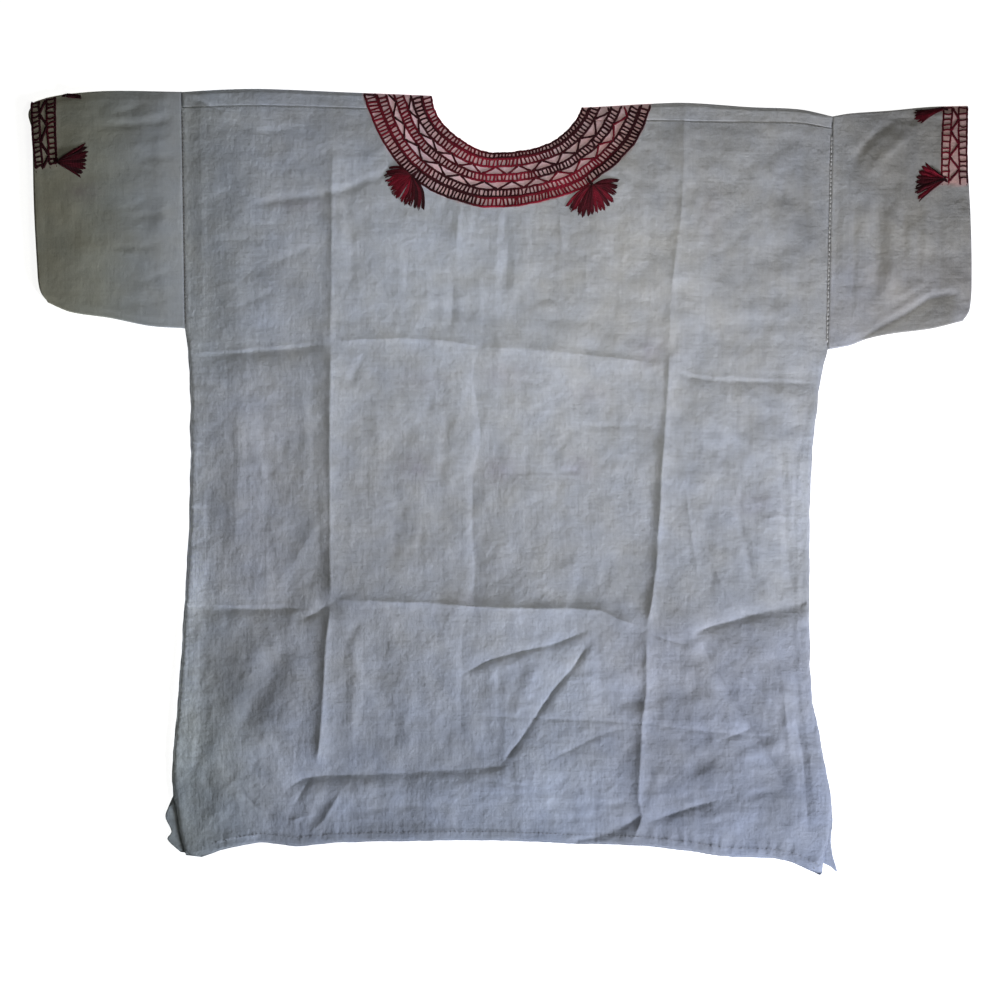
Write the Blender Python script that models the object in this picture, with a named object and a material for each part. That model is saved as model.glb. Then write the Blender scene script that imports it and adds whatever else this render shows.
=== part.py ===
"""Embroidered cotton blouse, laid out flat with its back panel underneath.

Metres, +Z up. The cloth lies on the plane z = 0, seen from above with the
neck towards +Y. The origin is under the middle of the whole garment.
Every size below is in millimetres and is turned into metres at the end.
"""

import math

import bpy
import bmesh
from mathutils import Vector
from mathutils.bvhtree import BVHTree
from mathutils.geometry import delaunay_2d_cdt

MM = 0.001

# ---------------------------------------------------------------- sizes
WALL = 1.2            # cloth wall
LAYER_GAP = 0.3       # between two layers that lie on each other
SEAM_GAP = 0.3        # between two pieces sewn edge to edge
PUFF = 1.1            # how far the front stands off the back between creases
MAX_RELIEF = 3.5      # highest ridge of the front over its lying level
EDGE_EASE = 45.0      # the puff dies out this far from the panel's edge
OUTLINE_STEP = 22.0   # spacing of points along an outline
FRONT_GRID = 31.0     # spacing of points inside the front
BACK_GRID = 70.0      # spacing of points inside the back

NECK_RADIUS = 87.0    # the neck is one round hole, folded across
BACK_NECK_EASE = 1.0  # the hidden half of the hole is this much wider
NECK_LEFT = (-72.5, 410.0)   # where the hole meets the top fold
NECK_RIGHT = (88.0, 397.5)

TOP = WALL + LAYER_GAP       # underside of the upper layer

# Top fold of the garment, from the armhole to the neck on each side.
TOP_FOLD_LEFT = (
    # x, y, width of the back's overlap down to the shoulder seam
    (-338.5, 414.0, 17.0),
    (-292.0, 416.6, 18.0),
    (-250.0, 417.2, 18.0),
    (-159.0, 413.5, 17.0),
    (-106.0, 411.5, 16.5),
    (-72.5, 410.0, 16.0),
)
TOP_FOLD_RIGHT = (
    (88.0, 397.5, 14.0),
    (117.0, 399.0, 15.5),
    (159.0, 401.5, 18.0),
    (198.5, 402.5, 20.0),
    (265.5, 398.0, 16.5),
    (318.5, 395.5, 15.0),
    (353.5, 388.0, 13.0),
)

# Sides of the body below the armholes, left edge and right edge.
SIDE_LEFT = (
    # x, y
    (-334.5, 163.5),
    (-331.0, 138.0),
    (-329.0, 97.5),
    (-329.0, -8.5),
    (-331.0, -61.5),
    (-334.0, -114.5),
    (-341.0, -221.0),
    (-348.0, -305.5),
    (-347.0, -332.5),
)
SIDE_RIGHT = (
    # x, y
    (348.0, 141.0),
    (343.0, 121.0),
    (336.5, 81.5),
    (330.0, 2.0),
    (328.5, -125.5),
    (330.5, -221.0),
    (340.0, -274.0),
    (349.5, -324.0),
    (353.5, -353.5),
    (352.5, -368.0),
)

# The side seams stop above the hem: below, each panel has its own corner.
FRONT_CORNER_LEFT = (
    # x, y
    (-343.0, -348.0),
    (-340.5, -368.0),
    (-337.0, -383.0),
    (-333.5, -396.0),
)
FRONT_CORNER_RIGHT = (
    # x, y
    (348.5, -381.0),
    (345.5, -392.0),
    (343.0, -404.0),
    (342.0, -415.0),
)
BACK_CORNER_LEFT = (
    # x, y
    (-352.0, -344.0),
    (-355.5, -355.5),
    (-349.0, -371.5),
    (-353.5, -379.0),
    (-339.5, -393.0),
)
BACK_CORNER_RIGHT = (
    # x, y
    (351.5, -382.0),
    (353.5, -397.0),
    (358.0, -414.0),
    (351.0, -408.5),
    (343.5, -405.0),
)
HEM = (
    # x, y, from the right corner to the left one
    (339.5, -417.2),
    (328.0, -411.5),
    (299.5, -401.0),
    (244.0, -397.5),
    (159.0, -387.0),
    (74.5, -383.5),
    (-10.5, -380.5),
    (-138.0, -382.0),
    (-180.5, -383.5),
    (-212.0, -386.5),
    (-255.0, -383.0),
    (-291.0, -389.5),
    (-316.5, -398.0),
)

# Sleeves: the four edges of each one as it lies.
SLEEVE_LEFT = {
    "top": ((-338.5, 414.0), (-414.0, 415.0), (-456.5, 412.0), (-480.0, 408.0), (-494.0, 403.5)),
    "underarm": ((-334.5, 163.5), (-371.5, 166.0), (-414.0, 174.5), (-456.5, 181.0), (-480.0, 191.0)),
    "cuff": ((-494.0, 403.5), (-500.8, 391.0), (-496.5, 373.5), (-494.5, 299.5), (-491.0, 230.5), (-488.0, 203.0), (-480.0, 191.0)),
}
SLEEVE_RIGHT = {
    "top": ((353.5, 388.0), (371.5, 391.0), (414.0, 394.0), (456.5, 398.0), (496.0, 399.0)),
    "underarm": ((348.0, 141.0), (371.5, 145.5), (390.5, 152.5), (414.0, 157.5), (456.5, 163.0), (491.5, 171.5)),
    "cuff": ((496.0, 399.0), (495.0, 352.5), (498.5, 289.0), (500.0, 214.5), (498.0, 182.0), (491.5, 171.5)),
}
SLEEVE_STATIONS = 10
SLEEVE_RING = 13

# Largest creases of the front: positive height is a ridge, negative a trough.
FOLDS = (
    # x0, y0, x1, y1, x2, y2, height, half width
    (-178.0, 352.0, -179.0, 250.0, -180.0, 146.0, 1.9, 13.0),
    (-180.0, 144.0, -180.5, 0.0, -179.5, -127.0, 2.3, 14.0),
    (-180.0, -131.0, -186.0, -220.0, -197.0, -303.0, 2.2, 14.0),
    (-27.0, 138.0, -27.5, 40.0, -28.5, -126.0, -1.0, 12.0),
    (195.0, 398.0, 190.0, 270.0, 180.0, 142.0, 2.1, 14.0),
    (179.0, 138.0, 172.0, 0.0, 156.0, -152.0, 2.4, 15.0),
    (155.0, -158.0, 150.0, -270.0, 145.0, -364.0, 2.2, 14.0),
    (-326.0, 133.0, -250.0, 139.0, -184.0, 145.0, -1.0, 13.0),
    (-176.0, 147.0, -40.0, 139.0, 126.0, 131.0, 2.0, 13.0),
    (178.0, 108.0, 255.0, 107.0, 334.0, 105.0, -1.0, 12.0),
    (-328.0, -133.0, -250.0, -134.0, -184.0, -130.0, -1.1, 12.0),
    (-175.0, -130.0, -20.0, -135.0, 148.0, -152.0, 2.1, 13.0),
    (203.0, -165.0, 265.0, -149.0, 327.0, -128.0, -1.1, 12.0),
    (-208.0, -314.0, -105.0, -309.0, 3.0, -302.0, -1.1, 12.0),
    (-36.0, -202.0, 22.0, -181.0, 90.0, -159.0, -1.0, 11.0),
    (6.0, -298.0, 52.0, -228.0, 98.0, -170.0, -1.0, 11.0),
    (213.0, -172.0, 260.0, -244.0, 321.0, -350.0, -1.0, 15.0),
)

# Tassels: the yarns fan out from one knot. The reach is given along three
# directions, counted in degrees from +X towards +Y.
TASSELS = (
    # name, panel, x, y, (angle, reach) three times, height at the knot
    ("tassel_neck_left", "front", -95.5, 326.0, (168.0, 27.0), (225.0, 31.0), (291.0, 42.0), 3.6),
    ("tassel_neck_right", "front", 95.5, 317.5, (224.0, 37.0), (285.0, 35.0), (366.0, 31.0), 3.6),
    ("tassel_cuff_left_low", "sleeve_left", -468.5, 340.5, (-36.5, 31.0), (5.0, 35.0), (33.0, 36.0), 3.2),
    ("tassel_cuff_left_top", "sleeve_left", -462.0, 406.6, (-16.0, 17.5), (-11.0, 18.5), (-6.0, 17.0), 1.6),
    ("tassel_cuff_right_top", "sleeve_right", 471.0, 394.5, (182.0, 33.0), (198.0, 33.0), (215.0, 31.0), 2.6),
    ("tassel_cuff_right_low", "sleeve_right", 471.0, 319.2, (136.0, 28.5), (178.0, 31.0), (218.0, 35.5), 3.2),
)
TASSEL_KNOT = 2.2        # radius of the knot end
TASSEL_TIP_HEIGHT = 1.4  # height of the yarn ends
TASSEL_RINGS = 5
TASSEL_SPOKES = 9

CLOTH = ("cotton", (0.56, 0.59, 0.64, 1.0), 0.85)
YARN = ("embroidery_thread", (0.22, 0.012, 0.02, 1.0), 0.6)


# ---------------------------------------------------------------- helpers
def clear_scene():
    for obj in list(bpy.data.objects):
        bpy.data.objects.remove(obj, do_unlink=True)


def material(name, colour, roughness):
    mat = bpy.data.materials.new(name)
    mat.use_nodes = True
    shader = mat.node_tree.nodes["Principled BSDF"]
    shader.inputs["Base Color"].default_value = colour
    shader.inputs["Roughness"].default_value = roughness
    shader.inputs["Metallic"].default_value = 0.0
    return mat


def add_object(name, mesh, mat):
    """mesh is a bmesh in millimetres."""
    bmesh.ops.scale(mesh, vec=(MM, MM, MM), verts=mesh.verts)
    data = bpy.data.meshes.new(name)
    mesh.to_mesh(data)
    mesh.free()
    data.materials.append(mat)
    obj = bpy.data.objects.new(name, data)
    bpy.context.scene.collection.objects.link(obj)
    return obj


def smoothstep(t):
    t = min(max(t, 0.0), 1.0)
    return t * t * (3.0 - 2.0 * t)


def curve(rows, step=OUTLINE_STEP):
    """A smooth curve through rows of numbers, with points about step apart."""
    rows = [tuple(row) for row in rows]
    count = len(rows)
    chord = [0.0]
    for a, b in zip(rows, rows[1:]):
        chord.append(chord[-1] + math.hypot(b[0] - a[0], b[1] - a[1]))

    def slope(i):
        lo, hi = max(i - 1, 0), min(i + 1, count - 1)
        span = chord[hi] - chord[lo]
        return [(b - a) / span for a, b in zip(rows[lo], rows[hi])]

    out = []
    for i in range(count - 1):
        length = chord[i + 1] - chord[i]
        pieces = max(1, round(length / step))
        m0, m1 = slope(i), slope(i + 1)
        for j in range(pieces):
            t = j / pieces
            h00 = 2 * t**3 - 3 * t**2 + 1
            h10 = t**3 - 2 * t**2 + t
            h01 = -2 * t**3 + 3 * t**2
            h11 = t**3 - t**2
            out.append(tuple(
                h00 * p + h10 * length * a + h01 * q + h11 * length * b
                for p, q, a, b in zip(rows[i], rows[i + 1], m0, m1)
            ))
    out.append(rows[-1])
    return out


def sample(rows, t):
    """The point at fraction t of the length of the curve through rows."""
    points = curve(rows, 8.0)
    lengths = [0.0]
    for a, b in zip(points, points[1:]):
        lengths.append(lengths[-1] + math.hypot(b[0] - a[0], b[1] - a[1]))
    want = t * lengths[-1]
    for i in range(len(points) - 1):
        if lengths[i + 1] >= want - 1e-9:
            span = lengths[i + 1] - lengths[i]
            f = (want - lengths[i]) / span if span > 0 else 0.0
            return tuple(a + (b - a) * f for a, b in zip(points[i], points[i + 1]))
    return points[-1]


def neck_arc(radius, hidden, first=None, last=None):
    """Points of the neck hole from its left end to its right end.

    The hole is a circle through both ends of the opening. Its centre lies
    behind the top fold, so the hidden half of the garment has the longer arc,
    turned over onto the back.
    """
    a, b = Vector(NECK_LEFT), Vector(NECK_RIGHT)
    mid = (a + b) / 2
    along = (b - a).normalized()
    normal = Vector((-along.y, along.x))
    offset = math.sqrt(radius**2 - ((b - a).length / 2) ** 2)
    centre = mid + normal * (-offset if hidden else offset)
    start = math.atan2(*(reversed((first or a) - centre)))
    end = math.atan2(*(reversed((last or b) - centre)))
    while start > 0:
        start -= 2 * math.pi
    while end < start:
        end += 2 * math.pi
    steps = max(6, round(radius * (end - start) / 13.0))
    return centre, [
        (centre.x + radius * math.cos(start + (end - start) * i / steps),
         centre.y + radius * math.sin(start + (end - start) * i / steps))
        for i in range(steps + 1)
    ]


def seam_line(rows):
    """The shoulder seam: the top fold moved down by the overlap's width."""
    return [(x, y - width) for x, y, width in curve(rows)]


def on_circle(centre, radius, line):
    """Where a line of points first crosses a circle."""
    for a, b in zip(line, line[1:]):
        da = math.hypot(a[0] - centre[0], a[1] - centre[1]) - radius
        db = math.hypot(b[0] - centre[0], b[1] - centre[1]) - radius
        if da == 0 or da * db < 0:
            f = da / (da - db)
            return (a[0] + (b[0] - a[0]) * f, a[1] + (b[1] - a[1]) * f)
    return line[-1]


def distance(x, y, path):
    """Distance to a path, and the fraction of its length there."""
    best, where, run = 1e9, 0.0, 0.0
    for a, b in zip(path, path[1:]):
        dx, dy = b[0] - a[0], b[1] - a[1]
        length = math.hypot(dx, dy)
        if length == 0:
            continue
        t = min(max(((x - a[0]) * dx + (y - a[1]) * dy) / length**2, 0.0), 1.0)
        d = math.hypot(x - a[0] - dx * t, y - a[1] - dy * t)
        if d < best:
            best, where = d, run + t * length
        run += length
    return best, where / run


def inside(x, y, loop):
    found = False
    for a, b in zip(loop, loop[1:] + loop[:1]):
        if (a[1] > y) != (b[1] > y) and x < a[0] + (y - a[1]) * (b[0] - a[0]) / (b[1] - a[1]):
            found = not found
    return found


def sheet(loop, points, lines, lower, upper):
    """A closed wall over a flat outline, between the heights lower and upper.

    loop is the outline, points are free points inside it, and lines are open
    rows of points that stay as edges, such as the crest of a crease.
    """
    coords = [Vector(p) for p in loop]
    edges = [(i, (i + 1) % len(loop)) for i in range(len(loop))]
    for line in lines:
        first = len(coords)
        coords += [Vector(p) for p in line]
        edges += [(first + i, first + i + 1) for i in range(len(line) - 1)]
    coords += [Vector(p) for p in points]
    flat, _, faces, _, _, _ = delaunay_2d_cdt(coords, edges, [], 1, 1e-4)
    mesh = bmesh.new()
    top = [mesh.verts.new((p.x, p.y, upper(p.x, p.y))) for p in flat]
    low = [mesh.verts.new((p.x, p.y, lower(p.x, p.y))) for p in flat]
    half_edges = set()
    for face in faces:
        a, b, c = (flat[i] for i in face)
        if (b - a).cross(c - a) < 0:
            face = face[::-1]
        mesh.faces.new([top[i] for i in face])
        mesh.faces.new([low[i] for i in reversed(face)])
        half_edges |= {(face[i], face[(i + 1) % 3]) for i in range(3)}
    for a, b in half_edges:
        if (b, a) not in half_edges:
            mesh.faces.new((top[b], top[a], low[a], low[b]))
    for vert in [v for v in mesh.verts if not v.link_faces]:
        mesh.verts.remove(vert)
    return mesh


def loft(rings, closed=False):
    """A solid through rings of the same number of points, capped at its ends."""
    mesh = bmesh.new()
    rows = [[mesh.verts.new(p) for p in ring] for ring in rings]
    count = len(rows[0])
    for a, b in zip(rows, rows[1:]):
        for i in range(count):
            j = (i + 1) % count
            mesh.faces.new((a[i], a[j], b[j], b[i]))
    mesh.faces.new(list(reversed(rows[0])))
    mesh.faces.new(rows[-1])
    bmesh.ops.recalc_face_normals(mesh, faces=mesh.faces)
    return mesh


# ---------------------------------------------------------------- outlines
def armhole(top, base, shift):
    """The straight armhole seam, moved sideways by shift."""
    steps = 9
    return [
        (top[0] + (base[0] - top[0]) * i / steps + shift,
         top[1] + (base[1] - top[1]) * i / steps)
        for i in range(steps + 1)
    ]


def join(*runs):
    """One closed outline from runs that follow each other."""
    out = []
    for run in runs:
        for p in run:
            p = (p[0], p[1])
            if not out or math.hypot(p[0] - out[-1][0], p[1] - out[-1][1]) > 0.4:
                out.append(p)
    if math.hypot(out[0][0] - out[-1][0], out[0][1] - out[-1][1]) < 0.4:
        out.pop()
    return out


def front_outline():
    centre, _ = neck_arc(NECK_RADIUS, False)
    left = seam_line(TOP_FOLD_LEFT)
    right = seam_line(TOP_FOLD_RIGHT)
    left_run = left + [(left[-1][0] + 30.0, left[-1][1] - 1.0)]
    right_run = [(right[0][0] - 30.0, right[0][1] - 3.0)] + right
    left_end = Vector(on_circle(centre, NECK_RADIUS, left_run))
    right_end = Vector(on_circle(centre, NECK_RADIUS, list(reversed(right_run))))
    _, neck = neck_arc(NECK_RADIUS, False, left_end, right_end)
    left = [p for p in left if p[0] < left_end.x - 4.0]
    right = [p for p in right if p[0] > right_end.x + 4.0]
    arm_r = armhole(right[-1], SIDE_RIGHT[0], -SEAM_GAP / 2)
    arm_l = armhole(left[0], SIDE_LEFT[0], SEAM_GAP / 2)
    return join(
        left[1:], neck, right[:-1], arm_r,
        curve(SIDE_RIGHT)[1:], curve(FRONT_CORNER_RIGHT), curve(HEM),
        list(reversed(curve(FRONT_CORNER_LEFT))), list(reversed(curve(SIDE_LEFT)))[:-1],
        list(reversed(arm_l)),
    )


def back_outline():
    _, neck = neck_arc(NECK_RADIUS + BACK_NECK_EASE, True)
    left = [(x, y) for x, y, _ in curve(TOP_FOLD_LEFT)]
    right = [(x, y) for x, y, _ in curve(TOP_FOLD_RIGHT)]
    arm_r = armhole(right[-1], SIDE_RIGHT[0], -SEAM_GAP / 2)
    arm_l = armhole(left[0], SIDE_LEFT[0], SEAM_GAP / 2)
    return join(
        left[1:-1], neck, right[1:-1], arm_r,
        curve(SIDE_RIGHT)[1:], curve(BACK_CORNER_RIGHT), curve(HEM[2:]),
        list(reversed(curve(BACK_CORNER_LEFT))), list(reversed(curve(SIDE_LEFT)))[:-1],
        list(reversed(arm_l)),
    )


def inner_points(loop, grid, keep_off, avoid=()):
    """A staggered grid inside the outline, clear of it and of given lines."""
    xs = [p[0] for p in loop]
    ys = [p[1] for p in loop]
    ring = loop + loop[:1]
    out = []
    row, y = 0, min(ys) + grid * 0.5
    while y < max(ys):
        x = min(xs) + grid * (0.25 + 0.5 * (row % 2))
        while x < max(xs):
            if inside(x, y, loop) and distance(x, y, ring)[0] > keep_off:
                if all(distance(x, y, line)[0] > keep_off for line in avoid):
                    out.append((x, y))
            x += grid
        y += grid * 0.87
        row += 1
    return out


# ---------------------------------------------------------------- the front
def fold_paths():
    return [
        (curve(((f[0], f[1]), (f[2], f[3]), (f[4], f[5])), 26.0), f[6], f[7])
        for f in FOLDS
    ]


def relief_function(loop, folds):
    ring = loop + loop[:1]

    def relief(x, y):
        edge = distance(x, y, ring)[0]
        height = PUFF * smoothstep(edge / EDGE_EASE)
        for path, rise, half_width in folds:
            d, t = distance(x, y, path)
            if d < half_width:
                ends = smoothstep(t / 0.1) * smoothstep((1.0 - t) / 0.1)
                height += rise * (1.0 - (d / half_width) ** 2) ** 2 * (0.35 + 0.65 * ends)
        return min(max(height, 0.0), MAX_RELIEF)

    return relief


def build_front():
    loop = front_outline()
    folds = fold_paths()
    relief = relief_function(loop, folds)
    lines, toes = [], []
    for path, _, half_width in folds:
        lines.append([p for p in path if inside(p[0], p[1], loop)])
        for a, b in zip(path, path[1:]):
            mx, my = (a[0] + b[0]) / 2, (a[1] + b[1]) / 2
            dx, dy = b[0] - a[0], b[1] - a[1]
            run = math.hypot(dx, dy)
            for side in (-1.0, 1.0):
                p = (mx - side * dy / run * half_width, my + side * dx / run * half_width)
                clear = all(distance(p[0], p[1], line[0])[0] > 8.0 for line in folds)
                if clear and inside(p[0], p[1], loop) and distance(p[0], p[1], loop + loop[:1])[0] > 8.0:
                    toes.append(p)
    grid = inner_points(loop, FRONT_GRID, 15.0, [line for line in lines if len(line) > 1])
    grid = [g for g in grid if all(math.hypot(g[0] - t[0], g[1] - t[1]) > 13.0 for t in toes)]
    return sheet(
        loop, grid + toes, [line for line in lines if len(line) > 1],
        lambda x, y: TOP + relief(x, y),
        lambda x, y: TOP + WALL + relief(x, y),
    )


# ---------------------------------------------------------------- the back
def build_back():
    loop = back_outline()
    return sheet(loop, inner_points(loop, BACK_GRID, 30.0), [], lambda x, y: 0.0, lambda x, y: WALL)


def build_overlap(rows, left):
    """The part of the back that comes over the top fold, down to the seam."""
    inset = 0.05
    fold = curve(rows)
    centre, _ = neck_arc(NECK_RADIUS, False)
    stations = []
    for x, y, width in fold:
        stations.append((x, y - inset, x, y - width + SEAM_GAP))
    arm_top = stations[0] if left else stations[-1]
    neck_end = stations[-1] if left else stations[0]
    # At the neck the overlap ends on the round of the hole.
    low_y = neck_end[3]
    low_x = centre.x + (-1 if left else 1) * (math.sqrt(NECK_RADIUS**2 - (low_y - centre.y) ** 2) + 0.2)
    high_x = neck_end[0] + (-0.2 if left else 0.2)
    if left:
        stations[-1] = (high_x, neck_end[1], low_x, low_y)
        base = SIDE_LEFT[0]
        slope = (base[0] - rows[0][0]) / (base[1] - rows[0][1])
        stations[0] = (arm_top[0] + SEAM_GAP / 2 + inset, arm_top[1],
                       arm_top[0] + SEAM_GAP / 2 + inset + slope * (arm_top[3] - arm_top[1]), arm_top[3])
    else:
        stations[0] = (high_x, neck_end[1], low_x, low_y)
        base = SIDE_RIGHT[0]
        slope = (base[0] - rows[-1][0]) / (base[1] - rows[-1][1])
        stations[-1] = (arm_top[0] - SEAM_GAP / 2 - inset, arm_top[1],
                        arm_top[0] - SEAM_GAP / 2 - inset + slope * (arm_top[3] - arm_top[1]), arm_top[3])
    rings = []
    for fx, fy, sx, sy in stations:
        run = math.hypot(sx - fx, sy - fy)
        ix, iy = fx + (sx - fx) * WALL / run, fy + (sy - fy) * WALL / run
        rings.append((
            (fx, fy, WALL / 2), (fx, fy, TOP + WALL), (sx, sy, TOP + WALL),
            (sx, sy, TOP), (ix, iy, TOP), (ix, iy, WALL / 2),
        ))
    return loft(rings)


# ---------------------------------------------------------------- sleeves
def build_sleeve(edges, side, folds):
    """A tube of cloth pressed flat: its top is a fold, its underarm a seam.

    side is -1 for the left sleeve and +1 for the right one.
    """
    shift = side * SEAM_GAP / 2
    top = [(x + (shift if i == 0 else 0.0), y) for i, (x, y) in enumerate(edges["top"])]
    under = [(x + (shift if i == 0 else 0.0), y) for i, (x, y) in enumerate(edges["underarm"])]

    def place(u, v):
        t, b = sample(top, u), sample(under, u)
        a = (top[0][0] + (under[0][0] - top[0][0]) * v, top[0][1] + (under[0][1] - top[0][1]) * v)
        c = sample(edges["cuff"], v)
        corner = [
            top[0][k] * (1 - u) * (1 - v) + top[-1][k] * u * (1 - v)
            + under[0][k] * (1 - u) * v + under[-1][k] * u * v
            for k in (0, 1)
        ]
        return tuple(
            t[k] * (1 - v) + b[k] * v + a[k] * (1 - u) + c[k] * u - corner[k]
            for k in (0, 1)
        )

    def relief(x, y, u, v):
        edge = min(v, 1.0 - v) * (top[0][1] - under[0][1])
        height = 0.9 * smoothstep(edge / 40.0) * (1.0 - 0.5 * u)
        for x0, y0, x1, y1, rise, half_width in folds:
            d, t = distance(x, y, ((x0, y0), (x1, y1)))
            if d < half_width:
                ends = smoothstep(t / 0.25) * smoothstep((1.0 - t) / 0.25)
                height += rise * (1.0 - (d / half_width) ** 2) ** 2 * ends
        return min(max(height, 0.0), 3.0) * smoothstep(edge / 8.0)

    outer, inner = [], []
    for s in range(SLEEVE_STATIONS + 1):
        u = s / SLEEVE_STATIONS
        span = place(u, 0.0)[1] - place(u, 1.0)[1]
        inset = WALL / span
        ring_out, ring_in = [], []
        for level in ("low", "high"):
            steps = range(SLEEVE_RING + 1)
            for i in steps if level == "low" else reversed(steps):
                v = i / SLEEVE_RING
                x, y = place(u, v)
                h = relief(x, y, u, v)
                ring_out.append((x, y, 0.0 if level == "low" else TOP + WALL + h))
                w = min(max(v, inset), 1.0 - inset)
                x, y = place(u, w)
                h = relief(x, y, u, w)
                ring_in.append((x, y, WALL if level == "low" else TOP + h))
        outer.append(ring_out)
        inner.append(ring_in)
    mesh = bmesh.new()
    out_rows = [[mesh.verts.new(p) for p in ring] for ring in outer]
    in_rows = [[mesh.verts.new(p) for p in ring] for ring in inner]
    count = len(out_rows[0])
    for rows in (out_rows, in_rows):
        for a, b in zip(rows, rows[1:]):
            for i in range(count):
                j = (i + 1) % count
                mesh.faces.new((a[i], a[j], b[j], b[i]))
    for a, b in ((out_rows[0], in_rows[0]), (out_rows[-1], in_rows[-1])):
        for i in range(count):
            j = (i + 1) % count
            mesh.faces.new((a[i], a[j], b[j], b[i]))
    bmesh.ops.recalc_face_normals(mesh, faces=mesh.faces)
    return mesh


SLEEVE_LEFT_FOLDS = (
    # x0, y0, x1, y1, height, half width
    (-440.0, 352.0, -345.0, 362.0, 0.9, 26.0),
    (-430.0, 250.0, -345.0, 245.0, 0.8, 26.0),
)
SLEEVE_RIGHT_FOLDS = (
    # x0, y0, x1, y1, height, half width
    (379.0, 345.0, 425.0, 388.0, -0.7, 24.0),
    (376.0, 340.0, 372.0, 200.0, 1.1, 24.0),
    (405.0, 260.0, 403.0, 175.0, -0.7, 22.0),
    (430.0, 330.0, 434.0, 190.0, 0.9, 24.0),
    (388.0, 166.0, 472.0, 204.0, 1.8, 20.0),
)


# ---------------------------------------------------------------- tassels
def build_tassel(row, ground):
    _, _, cx, cy, *reaches, knot_height = row
    angles = [a for a, _ in reaches]

    def reach(angle):
        (a0, r0), (a1, r1), (a2, r2) = reaches
        if angle <= a1:
            return r0 + (r1 - r0) * (angle - a0) / (a1 - a0)
        return r1 + (r2 - r1) * (angle - a1) / (a2 - a1)

    mesh = bmesh.new()
    top, low = [], []
    for i in range(TASSEL_RINGS + 1):
        f = i / TASSEL_RINGS
        top_row, low_row = [], []
        for j in range(TASSEL_SPOKES + 1):
            angle = angles[0] + (angles[2] - angles[0]) * j / TASSEL_SPOKES
            r = TASSEL_KNOT + (reach(angle) - TASSEL_KNOT) * f
            x = cx + r * math.cos(math.radians(angle))
            y = cy + r * math.sin(math.radians(angle))
            z = ground(x, y) + LAYER_GAP + 0.1
            side = smoothstep(min(j, TASSEL_SPOKES - j) / 2.0)
            rise = knot_height + (TASSEL_TIP_HEIGHT - knot_height) * f
            top_row.append(mesh.verts.new((x, y, z + rise * (0.55 + 0.45 * side))))
            low_row.append(mesh.verts.new((x, y, z)))
        top.append(top_row)
        low.append(low_row)
    for i in range(TASSEL_RINGS):
        for j in range(TASSEL_SPOKES):
            mesh.faces.new((top[i][j], top[i + 1][j], top[i + 1][j + 1], top[i][j + 1]))
            mesh.faces.new((low[i][j], low[i][j + 1], low[i + 1][j + 1], low[i + 1][j]))
    for j in range(TASSEL_SPOKES):
        for i in (0, TASSEL_RINGS):
            mesh.faces.new((top[i][j], top[i][j + 1], low[i][j + 1], low[i][j]))
    for i in range(TASSEL_RINGS):
        for j in (0, TASSEL_SPOKES):
            mesh.faces.new((top[i][j], top[i + 1][j], low[i + 1][j], low[i][j]))
    bmesh.ops.recalc_face_normals(mesh, faces=mesh.faces)
    return mesh


def ground_of(obj):
    """The height of an object's upper surface, in millimetres."""
    mesh = bmesh.new()
    mesh.from_mesh(obj.data)
    tree = BVHTree.FromBMesh(mesh)
    mesh.free()

    def height(x, y):
        hit = tree.ray_cast(Vector((x * MM, y * MM, 0.1)), Vector((0.0, 0.0, -1.0)))[0]
        return hit.z / MM if hit else TOP + WALL

    return height


# ---------------------------------------------------------------- build
def main():
    clear_scene()
    cloth = material(*CLOTH)
    yarn = material(*YARN)

    back = add_object("back", build_back(), cloth)
    for name, rows, left in (
        ("overlap_left", TOP_FOLD_LEFT, True),
        ("overlap_right", TOP_FOLD_RIGHT, False),
    ):
        helper = add_object(name, build_overlap(rows, left), cloth)
        helper.hide_render = True
        helper.display_type = "WIRE"
        union = back.modifiers.new(name, "BOOLEAN")
        union.operation = "UNION"
        union.solver = "EXACT"
        union.object = helper

    panels = {
        "front": add_object("front", build_front(), cloth),
        "sleeve_left": add_object("sleeve_left", build_sleeve(SLEEVE_LEFT, -1, SLEEVE_LEFT_FOLDS), cloth),
        "sleeve_right": add_object("sleeve_right", build_sleeve(SLEEVE_RIGHT, 1, SLEEVE_RIGHT_FOLDS), cloth),
    }
    ground = {name: ground_of(obj) for name, obj in panels.items()}
    for row in TASSELS:
        add_object(row[0], build_tassel(row, ground[row[1]]), yarn)


main()
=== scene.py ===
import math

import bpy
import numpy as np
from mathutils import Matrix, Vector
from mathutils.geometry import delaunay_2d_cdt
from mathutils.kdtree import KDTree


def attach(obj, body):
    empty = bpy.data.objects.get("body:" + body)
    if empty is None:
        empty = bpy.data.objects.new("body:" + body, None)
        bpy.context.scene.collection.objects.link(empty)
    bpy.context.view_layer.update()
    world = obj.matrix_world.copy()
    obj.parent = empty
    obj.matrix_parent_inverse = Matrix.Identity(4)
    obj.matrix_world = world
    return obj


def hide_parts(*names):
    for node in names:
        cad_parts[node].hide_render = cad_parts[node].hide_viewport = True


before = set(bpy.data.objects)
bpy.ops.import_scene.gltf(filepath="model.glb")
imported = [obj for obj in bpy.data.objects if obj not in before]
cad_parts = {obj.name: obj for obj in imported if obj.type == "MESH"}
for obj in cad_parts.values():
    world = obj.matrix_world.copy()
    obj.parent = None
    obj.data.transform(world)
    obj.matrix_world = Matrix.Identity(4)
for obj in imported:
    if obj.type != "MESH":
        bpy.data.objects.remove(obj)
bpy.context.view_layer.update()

# Looks of the embroidered blouse: cloth shells on the CAD's forms, the thread
# work, the tassels, the seams, the floor, the lights and the camera.
# Sizes are in millimetres and become metres when a mesh is made. Tables whose
# columns are named px give places in the photograph's frame of 1000 by 1000,
# which at() turns into places on the garment.

MM = 0.001
PIXEL = 1.0616         # mm on the garment to one pixel of the photograph
MID_PX = (500.0, 482.0)  # the garment's origin in the photograph

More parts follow.
